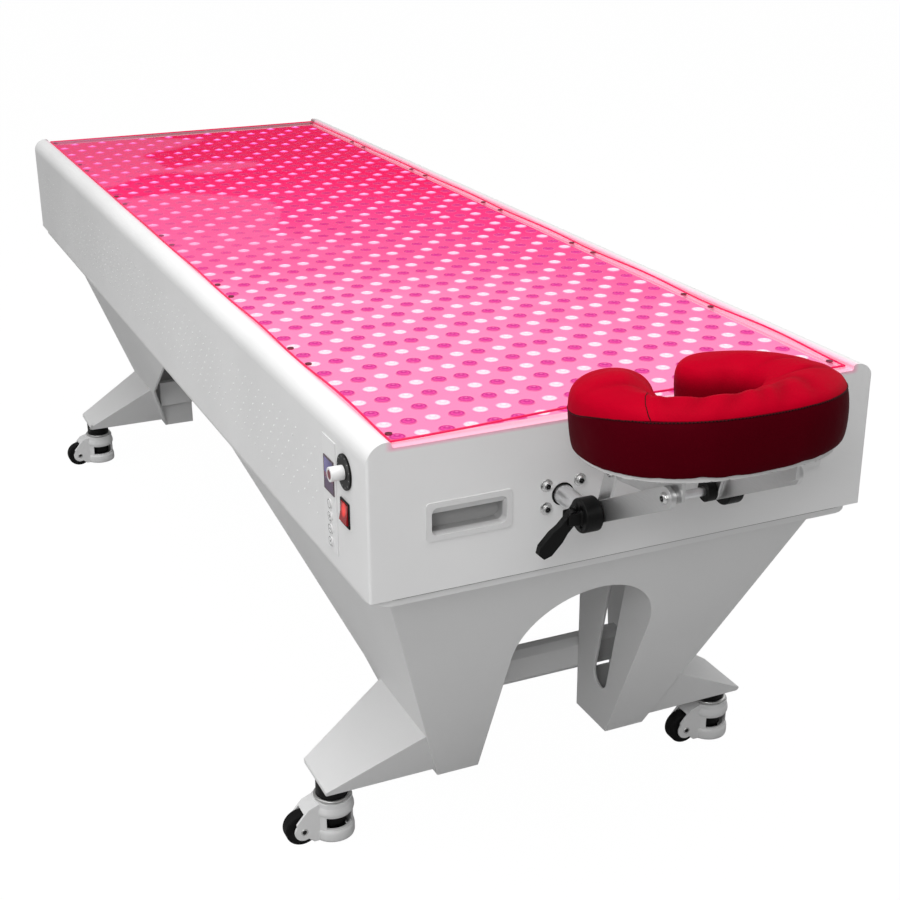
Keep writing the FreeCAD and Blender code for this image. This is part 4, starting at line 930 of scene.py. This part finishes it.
def cross_turn(share):
    """Ring angle of the slanting cross seam at a share of the band's width."""
    return np.radians(241.0 - 10.0 * share)


def band_place(points):
    """For each point: ring angle of the nearest centre-line spot and distance out from it."""
    spot, away = ring_line(LINE_TURNS)
    gap = points[:, None, :2] - spot[None]
    nearest = np.argmin((gap**2).sum(-1), 1)
    own = gap[np.arange(len(points)), nearest]
    return LINE_TURNS[nearest], (own * away[nearest]).sum(-1) / BAND


def gather(piece):
    """Pull the cover in along the cross seam and the wrinkles, lift the left horn, lower the
    inner crown, let the skirt sag past the platform's edge, and note what the paint reads."""
    points = rows_of(piece.data.vertices, "co")
    skins = rows_of(piece.data.vertex_normals, "vector")
    turn, share = band_place(points)
    around = (WIDE + DEEP) / 2
    upward = unit(skins[:, 2])
    seam = SEAM_PULL * bell((turn - cross_turn(share)) * around, SEAM_WIDTH)
    angle, slant, depth, width = WRINKLES.T
    offset = turn[:, None] - np.radians(angle + slant * share[:, None])
    fold = depth * MM * bell(offset * around, width * MM)
    fade = unit(1.1 - np.abs(share))
    pull = (seam + fold.sum(1) * fade) * upward
    points -= skins * pull[:, None]
    crown = np.clip((points[:, 2] - REST_Z) / CUSHION_TALL - 0.5, 0, 0.5) * 2
    horn = bell(turn - HORN_TURN, HORN_SPREAD)
    points[:, 2] += HORN_LIFT * horn * crown * unit(1 - share**2)
    front = bell(turn - FRONT_TURN, FRONT_SPREAD)
    inward = unit((0.15 - share) / 0.8) ** 1.3
    points[:, 2] -= INNER_DROP * inward * crown * front * (1 - horn)
    height = points[:, 2] - REST_Z + (points[:, 1] - cushion_y) * math.tan(TILT)
    low = unit(1 - height / SKIRT)
    leftward = unit((turn - SAG_FROM) / SAG_OVER)
    beyond = unit((share - PLATFORM_SHARE) / PLATFORM_FADE)
    points[:, 2] -= SKIRT_SAG * (0.3 + 0.7 * leftward) * low * beyond
    note(piece, "rise", height - seam_height(turn))
    # How deep a point sits in a crease; the paint reads it for painted shade.
    note(piece, "crease", unit(fold.sum(1) * fade * upward / CREASE_FULL))
    piece.data.vertices.foreach_set("co", points.ravel())
    note(piece, "outward", share)
    piece.data.update()


cushion = mesh_piece("face_cushion_cover", form_points, form_faces, cushion_cover)
merged(cushion, 0.2 * MM)
remesh = cushion.modifiers.new("cells", "REMESH")
remesh.mode = "VOXEL"
remesh.voxel_size = VOXEL
bake(cushion)
print("stuffing moved up to", round(stuff(cushion) / MM, 1), "mm")
smoother = cushion.modifiers.new("even", "SMOOTH")
smoother.factor = 0.5
smoother.iterations = 4
finer = cushion.modifiers.new("finer", "SUBSURF")
finer.levels = finer.render_levels = 1
bake(cushion)
gather(cushion)
cushion.data.materials.clear()
cushion.data.materials.append(cushion_cover)
cushion.data.shade_smooth()
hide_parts("face_cushion")
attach(cushion, "cradle_head")
print("cushion:", len(cushion.data.polygons), "faces")

# %% [markdown]
# The sewn edge shows as a thin dark line of stitches where top and side meet. It runs round
# the outer side and turns down the face of each horn. A path just outside the form is
# dropped onto the stuffed surface, and a small round section is carried along it. A second
# seam crosses the band where two panels of the top meet.

# %% Seam cord


THREAD_SIDES = 8
STITCH = 4.0 * MM
SEAM_OUT = 1.08
SEAM_FOOT = 8 * MM


def tube(path_points, radius):
    """Round section carried along an open path, framed by the path and the vertical."""
    ahead = np.roll(path_points, -1, 0) - np.roll(path_points, 1, 0)
    ahead[0] = path_points[1] - path_points[0]
    ahead[-1] = path_points[-1] - path_points[-2]
    ahead /= np.linalg.norm(ahead, axis=1, keepdims=True)
    side = np.cross(ahead, np.array([0.0, 0.0, 1.0]))
    side /= np.linalg.norm(side, axis=1, keepdims=True)
    up = np.cross(side, ahead)
    angle = (np.arange(THREAD_SIDES) * 2 * np.pi / THREAD_SIDES)[None, :, None]
    ring = side[:, None] * np.cos(angle) + up[:, None] * np.sin(angle)
    points = path_points[:, None] + ring * radius
    return points, grid_faces(len(path_points), THREAD_SIDES, wrap_columns=True)


def settle(piece, path_points, sink):
    """Nearest surface points of a piece, pushed a little below its skin."""
    tree = BVHTree.FromObject(piece, bpy.context.evaluated_depsgraph_get())
    hits = [tree.find_nearest(Vector(p)) for p in path_points]
    spots = np.array([hit[0] for hit in hits])
    skins = np.array([hit[1] for hit in hits])
    return spots - skins * sink


def stitched(name, path_points, radius):
    """Sewn line on the cushion: a thin tube whose colour steps from stitch to stitch."""
    spots = settle(cushion, path_points, radius * 0.3)
    points, faces = tube(spots, radius)
    piece = mesh_piece(name, points, faces, thread)
    steps = np.linalg.norm(np.diff(spots, axis=0), axis=1)
    note(piece, "run", np.repeat(np.concatenate([[0.0], np.cumsum(steps)]), THREAD_SIDES))
    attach(piece, "cradle_head")
    print(name, len(faces), "faces")


def thread_paint():
    """Thread: dark red stitches of four millimetres with darker holes between them."""
    paint = Paint("seam_thread", roughness=0.7, specular_ior_level=0.1)
    step = paint.noted("run") / STITCH
    stitch = step.alone("FRACT")
    return paint.done(paint.mix(stitch.above(0.62), (0.05, 0.0, 0.003), (0.004, 0.0, 0.0)))


thread = thread_paint()
seam_z = REST_Z + seam_height(LINE_TURNS)
outer, outer_way = ring_line(LINE_TURNS)
bend = np.linspace(0, 72.0 * DEG, 12)[1:, None]


def horn_path(k, side):
    """Seam over one horn: round to its face, then straight down it."""
    ahead = np.array([-outer_way[k, 1], outer_way[k, 0]]) * side
    round_way = outer_way[k] * np.cos(bend) + ahead * np.sin(bend)
    flat = outer[k] + round_way * BAND * SEAM_OUT
    drop = np.linspace(seam_z[k], REST_Z + SEAM_FOOT, 20)[1:, None]
    level = np.concatenate([flat, np.full((len(flat), 1), seam_z[k])], 1)
    down = np.concatenate([np.repeat(flat[-1:], len(drop), 0), drop], 1)
    return np.concatenate([level, down])


arc = np.concatenate([outer + outer_way * BAND * SEAM_OUT, seam_z[:, None]], 1)
path = np.concatenate([horn_path(0, 1)[::-1], arc, horn_path(-1, -1)])
stitched("cushion_seam", leaning(path), 0.95 * MM)
cross_share = np.linspace(-0.85, 0.98, 40)[:, None]
cross_spot, cross_way = ring_line(cross_turn(cross_share[:, 0]))
cross_top = REST_Z + CUSHION_TALL * (1.02 - 0.2 * np.abs(cross_share) ** 4)
cross = np.concatenate([cross_spot + cross_way * BAND * cross_share, cross_top], 1)
stitched("cushion_cross_seam", leaning(cross), 0.6 * MM)

# %% [markdown]
# Rows of small ventilation studs run along both long sides. Each is a small dome with a
# painted highlight, white in its middle and darker to its rim; the groups repeat between the
# sections of the bed.

# %% Ventilation dimples
DIMPLE_TURNS = 10
DIMPLE = np.array([(1.6, 0.0), (1.35, 0.3), (0.8, 0.5), (0.05, 0.6)]) * MM
dimple = turned(DIMPLE, DIMPLE_TURNS)
dimple_reach = DIMPLE[:, 0] / DIMPLE[0, 0]
ROW_STEP = 14.7 * MM
LOW_ROW = 546.0 * MM
DIMPLE_PITCH = 30.8 * MM
# Where the groups of studs start and stop, in metres from the head end.
GROUP_PITCH = 0.3265
GROUPS = [(0.174, 0.207), (0.247, 0.531)]
GROUPS += [(0.571 + k * GROUP_PITCH, 0.859 + k * GROUP_PITCH) for k in range(5)]
FOOT_MARGIN = 0.06
STUD_ROWS = 7
dimple_places = []
for start, stop in GROUPS:
    along = np.arange(start, min(stop, bed_length - FOOT_MARGIN), DIMPLE_PITCH)
    for row in range(STUD_ROWS):
        shifted = along + (DIMPLE_PITCH / 2 if row % 2 else 0.0)
        height = np.full(len(shifted), LOW_ROW + row * ROW_STEP)
        dimple_places.append(np.stack([shifted + head_y, height], -1))
dimple_places = np.concatenate(dimple_places)
dimple_paint = Paint("dimple_shade", roughness=0.6)
# Painted highlight: white in the middle of each stud, painted shade towards its rim.
dimple_painted_light = dimple_paint.noted("dimple_reach").smooth(0.45, 0.95)
dimple_paint.feed("Base Color", dimple_paint.mix(dimple_painted_light, grey(1.0), grey(0.7)))
for side, way in ((-1, "left"), (1, "right")):
    spots = np.stack(
        [np.full(len(dimple_places), side * side_x), dimple_places[:, 0], dimple_places[:, 1]], -1
    )
    finish = dimple_paint.material
    name = "dimples_" + way
    studs(name, dimple, spots, finish, "bed", "housing_white", way, dimple_reach=dimple_reach)
print("dimples per side:", len(dimple_places))

# %% [markdown]
# Controls: the display shows a dark violet screen with red bands, the rocker is a red
# switch with painted glow and a painted highlight, and the white knob has a small dark red
# end cap on a black dial with white ticks. The control film's cut edge carries painted shade.
# The four film buttons carry plain signs drawn by arithmetic on the distance from the middle
# of the button: a ring, and in it a bar, a cross, a dash or a dot.

# %% Control finishes


def side_share(paint, node, radius=None):
    """Place on the left side of a node, from -1 to 1 along Y and Z about its middle."""
    low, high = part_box(node)
    half_y = radius or float(high[1] - low[1]) / 2
    half_z = radius or float(high[2] - low[2]) / 2
    spot, (x, y, z) = paint.place()
    along = (y - float(high[1] + low[1]) / 2) / half_y
    rise = (z - float(high[2] + low[2]) / 2) / half_z
    return spot, x - float(low[0]), along, rise


def display():
    """Lit display: violet field, dark red bands and a thin dark border."""
    paint = Paint("display_lens", roughness=0.14, emission_strength=0.2)
    _, _, along, rise = side_share(paint, "display_screen")
    band = (rise + 0.12).within(0.16)
    foot_band = 1.0 - (rise + 0.3).above(0.0)
    inside = along.within(0.86) * rise.within(0.9)
    field = paint.mix(along.smooth(-1.0, 1.0), (0.04, 0.03, 0.13), (0.13, 0.11, 0.29))
    field = paint.mix(foot_band, field, (0.045, 0.012, 0.06))
    field = paint.mix(band * 0.8, field, (0.16, 0.01, 0.03))
    tone = paint.mix(inside, (0.03, 0.004, 0.02), field)
    return paint.shine(tone)


def rocker():
    """Red rocker: deep red with painted glow, and a painted highlight as a brighter spot on its
    upper half.
    """
    paint = Paint("rocker_lens", roughness=0.2, emission_strength=0.35)
    _, _, along, rise = side_share(paint, "rocker_switch")
    # Painted highlight: a brighter spot above the middle of the rocker.
    glow = 1.0 - (along * along + (rise - 0.35) * (rise - 0.35)).smooth(0.0, 0.7)
    tone = paint.mix(glow, (0.2, 0.0, 0.003), (0.85, 0.02, 0.015))
    return paint.shine(tone)


def knob():
    """White knob with a dark red cap in the middle of its end."""
    paint = Paint("knob_gloss", roughness=0.28)
    spot, depth, along, rise = side_share(paint, "dial_knob")
    middle = 1.0 - (along * along + rise * rise).above(0.42)
    cap = (1.0 - depth.smooth(0.0008, 0.0012)) * middle
    tone = paint.mix(paint.noise(spot, 30.0), grey(0.84), grey(0.78))
    return paint.done(paint.mix(cap, tone, (0.16, 0.0, 0.012)))


def dial():
    """Black dial: white ticks on a ring near the rim, every thirty degrees."""
    paint = Paint("dial_black", roughness=0.35, specular_ior_level=0.12)
    _, _, along, rise = side_share(paint, "dial_plate")
    reach = (along * along + rise * rise).alone("SQRT")
    swing = rise.math("ARCTAN2", rise, along) / (math.pi / 6)
    tick = (swing.alone("FRACT") - 0.5).within(0.04) * (reach - 0.86).within(0.05)
    return paint.done(paint.mix(tick, grey(0.005), grey(0.5)))


def overlay():
    """Control film: as white as the wall, with painted shade on its cut edge."""
    paint = Paint("overlay_film", roughness=0.4)
    spot, depth, _, _ = side_share(paint, "control_overlay")
    tone = paint.mix(paint.noise(spot, 900.0, 2.0), grey(0.8), grey(0.76))
    # Painted shade: the side faces of the film, behind its front face, are darker.
    return paint.done(paint.mix(depth.above(0.0003), tone, grey(0.68)))


def button(number):
    """Film button: white, with a thin ring and a plain sign of its own."""
    paint = Paint("button_film_%d" % number, roughness=0.4)
    _, _, along, rise = side_share(paint, "button_%d" % number)
    square = along * along + rise * rise
    ring = (square - 0.72).within(0.13)
    upright = along.within(0.09) * rise.within(0.42)
    level = rise.within(0.09) * along.within(0.42)
    dot = 1.0 - square.above(0.06)
    sign = (upright, upright + level, level, dot)[number - 1]
    mark = (ring + sign).math("MINIMUM", ring + sign, 1.0)
    return paint.done(paint.mix(mark, grey(0.8), grey(0.1)))


wear(["display_screen"], display())
wear(["rocker_switch"], rocker())
wear(["dial_knob"], knob())
wear(["dial_plate"], dial())
wear(["control_overlay"], overlay())
for number in (1, 2, 3, 4):
    wear(["button_%d" % number], button(number))

# %% [markdown]
# Small hardware: the socket screws of the post guides sit on washers and have a six-sided
# recess, and so have the low heads of the cradle's pivot screws. Each caster has a rounded
# collar and a bearing at the top, a thick ring at the bottom and axle ends with a hole. The
# recesses and holes are painted near black with painted shade.
# All are turned profiles; the recess is a circle whose radius changes with the angle as the
# sides of a hexagon do.

# %% Screws and caster rings
SCREW_TURNS = 24
# Washer, head and recess in millimetres; the last four rings belong to the recess.
SCREW_PROFILE = np.array(
    [(8.0, 0.0), (8.0, 1.3), (7.7, 1.5), (5.3, 1.5), (5.1, 1.7), (5.1, 5.4), (4.6, 6.0)]
    + [(3.1, 6.0), (2.9, 5.7), (2.9, 3.2), (0.05, 3.0)]
)
RECESS_RINGS = 4
HOLE_RINGS = 2


def inner(profile, count):
    """One for the last rings of a profile, the recess, and zero for the others."""
    return (np.arange(len(profile)) >= len(profile) - count).astype(float)


def hexed(profile):
    """Turned screw head whose last rings are pulled into a hexagon."""
    points, faces = turned(profile * MM, SCREW_TURNS)
    angle = np.arange(SCREW_TURNS) * 2 * np.pi / SCREW_TURNS
    hexagon = math.cos(math.pi / 6) / np.cos(angle % (math.pi / 3) - math.pi / 6)
    points[-RECESS_RINGS * SCREW_TURNS :, :2] *= np.tile(hexagon, RECESS_RINGS)[:, None]
    return points, faces


def screw_steel():
    """Bright steel with painted shade that turns it nearly black inside the recess."""
    paint = Paint("screw_steel", metallic=1.0, roughness=0.25)
    spot, _ = paint.place()
    grain = paint.noise(spot, 900.0)
    bright = paint.mix(grain, (0.75, 0.75, 0.74), grey(0.6))
    # Painted shade: nearly black where the recess mark is one.
    return paint.done(paint.mix(paint.noted("recess"), bright, grey(0.03)), 0.18 + grain * 0.16)


steel = screw_steel()
screw_low, screw_high = (np.array(v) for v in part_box("socket_screws"))
washer = SCREW_PROFILE[0, 0] * MM
outer_x = (screw_high[0] - screw_low[0]) / 2 - washer
middle_x = (screw_high[0] + screw_low[0]) / 2
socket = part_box("post_socket_right")
post_reach = float(socket[1][0] + socket[0][0]) / 2 - middle_x
half_step = outer_x - post_reach
signs = np.array([(-1, -1), (-1, 1), (1, -1), (1, 1)])
screw_x = middle_x + signs @ np.array([post_reach, half_step])
screw_z = np.array([screw_low[2] + washer, screw_high[2] - washer])
gx, gz = np.meshgrid(screw_x, screw_z)
screw_places = np.stack([gx.ravel(), np.full(gx.size, head_y), gz.ravel()], -1)
screws = studs(
    "socket_screw_heads", hexed(SCREW_PROFILE), screw_places, steel, "bed", "zinc", "front",
    recess=inner(SCREW_PROFILE, RECESS_RINGS),
)
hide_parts("socket_screws")

# Pivot screws of the cradle: a low dome with the same kind of recess, on both sides.
PIVOT_PROFILE = np.array(
    [(7.0, 0.0), (7.0, 1.2), (6.5, 2.4), (5.2, 3.4), (4.0, 3.9)]
    + [(3.3, 3.9), (3.1, 3.6), (3.1, 1.7), (0.05, 1.5)]
)
pivot_low, pivot_high = (np.array(v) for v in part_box("pivot_screws"))
HEAD_HALF, HEAD_TALL, STEP_IN = 7.0 * MM, 4.0 * MM, 6.0 * MM
for way, side in (("left", -1), ("right", 1)):
    face = (pivot_high if side > 0 else pivot_low)[0] - side * HEAD_TALL
    front = (face, pivot_low[1] + HEAD_HALF, pivot_high[2] - HEAD_HALF)
    rear = (face - side * STEP_IN, pivot_high[1] - HEAD_HALF, pivot_low[2] + HEAD_HALF)
    heads = studs(
        "pivot_heads_" + way, hexed(PIVOT_PROFILE), np.array([front, rear]), steel,
        nodes["pivot_screws"]["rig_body"], "zinc", way, recess=inner(PIVOT_PROFILE, RECESS_RINGS),
    )
    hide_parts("pivot_screws")

COLLAR = np.array(
    [(28.6, 45.0), (30.6, 46.5), (31.2, 49.0), (31.0, 53.0), (29.6, 58.0), (27.4, 62.5)]
    + [(25.6, 65.5), (24.4, 66.2), (23.4, 66.2)]
)
BEARING = np.array(
    [(23.3, 66.4), (26.2, 66.6), (26.8, 67.6), (26.8, 69.4), (26.0, 70.4), (23.3, 70.6)]
)
FOOT_RING = np.array(
    [(28.4, 4.9), (30.4, 5.4), (31.2, 8.0), (31.2, 18.0), (30.4, 21.5), (28.4, 23.0)]
)
AXLE_END = np.array([(5.4, 0.0), (5.2, 0.7), (3.6, 0.9), (3.2, 0.3), (0.05, 0.1)])
CASTER_TURNS, AXLE_TURNS = 40, 16
AXLE_REACH = 16.0 * MM
axle_end = turned(AXLE_END * MM, AXLE_TURNS)
for corner in CORNERS:
    low, high = (np.array(v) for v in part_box("caster_adjuster_" + corner))
    wheel_low, wheel_high = (np.array(v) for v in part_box("caster_wheel_" + corner))
    stem = np.array([[(low[0] + high[0]) / 2, (low[1] + high[1]) / 2, 0.0]])
    for name, profile, finish, slot in (
        ("collar", COLLAR, caster_nylon, "caster_white"),
        ("bearing", BEARING, zinc_plate, "zinc"),
        ("foot_ring", FOOT_RING, caster_nylon, "caster_white"),
    ):
        shape = turned(profile * MM, CASTER_TURNS)
        studs("caster_%s_%s" % (name, corner), shape, stem, finish, "swivel_" + corner, slot)
    hub = (wheel_low + wheel_high) / 2
    for way, side in (("front", -1), ("back", 1)):
        spot = np.array([[hub[0], hub[1] + side * AXLE_REACH, hub[2]]])
        studs(
            "axle_%s_%s" % (way, corner), axle_end, spot, steel, "swivel_" + corner,
            "caster_white", way, recess=inner(AXLE_END, HOLE_RINGS),
        )
print("screws:", len(screw_places), "casters dressed:", len(CORNERS))

# %% [markdown]
# Real edges are never sharp. The folded, moulded and cast pieces listed below get a small
# rounding: a copy of each one's CAD mesh is welded and its flat triangles are joined, sharp
# edges are bevelled, and the normals are weighted by area, so that flat faces stay flat and
# edges catch light.

# %% Rounded edges
WELD = 0.01 * MM
FLAT = 0.5 * DEG
SHARP = 28.0 * DEG


def soften(names, width, segments=2):
    """Show bevelled copies of CAD nodes; the nodes themselves stay as they are."""
    for name in names:
        data = bpy.data.meshes.new(name + "_rounded")
        work = bmesh.new()
        work.from_mesh(nodes[name].data)
        bmesh.ops.remove_doubles(work, verts=work.verts, dist=WELD)
        bmesh.ops.dissolve_limit(work, angle_limit=FLAT, verts=work.verts, edges=work.edges)
        work.to_mesh(data)
        work.free()
        stale = data.attributes.get("custom_normal")
        if stale:
            data.attributes.remove(stale)
        data.materials.clear()
        data.materials.append(nodes[name].data.materials[0])
        data.shade_smooth()
        piece = bpy.data.objects.new(name + "_rounded", data)
        scene.collection.objects.link(piece)
        edge = piece.modifiers.new("edge", "BEVEL")
        edge.width = width
        edge.segments = segments
        edge.limit_method = "ANGLE"
        edge.angle_limit = SHARP
        edge.use_clamp_overlap = False
        piece.modifiers.new("even", "WEIGHTED_NORMAL")
        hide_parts(name)
        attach(piece, nodes[name]["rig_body"])


soften(["trestle_head", "trestle_foot"], 1.1 * MM)
soften(["stretcher_head", "stretcher_foot", "base_tray"], 1.2 * MM)
soften(["cradle_platform", "cradle_lever"], 1.0 * MM)
soften(["cradle_hub_left", "cradle_hub_right"], 2.2 * MM, 3)
soften(["caster_body_" + c for c in CORNERS], 0.9 * MM)
soften(["cradle_arm_left", "cradle_arm_right", "dial_knob"], 0.6 * MM)
soften(["cradle_bracket_left", "cradle_bracket_right", "rocker_bezel", "dial_plate"], 0.4 * MM)
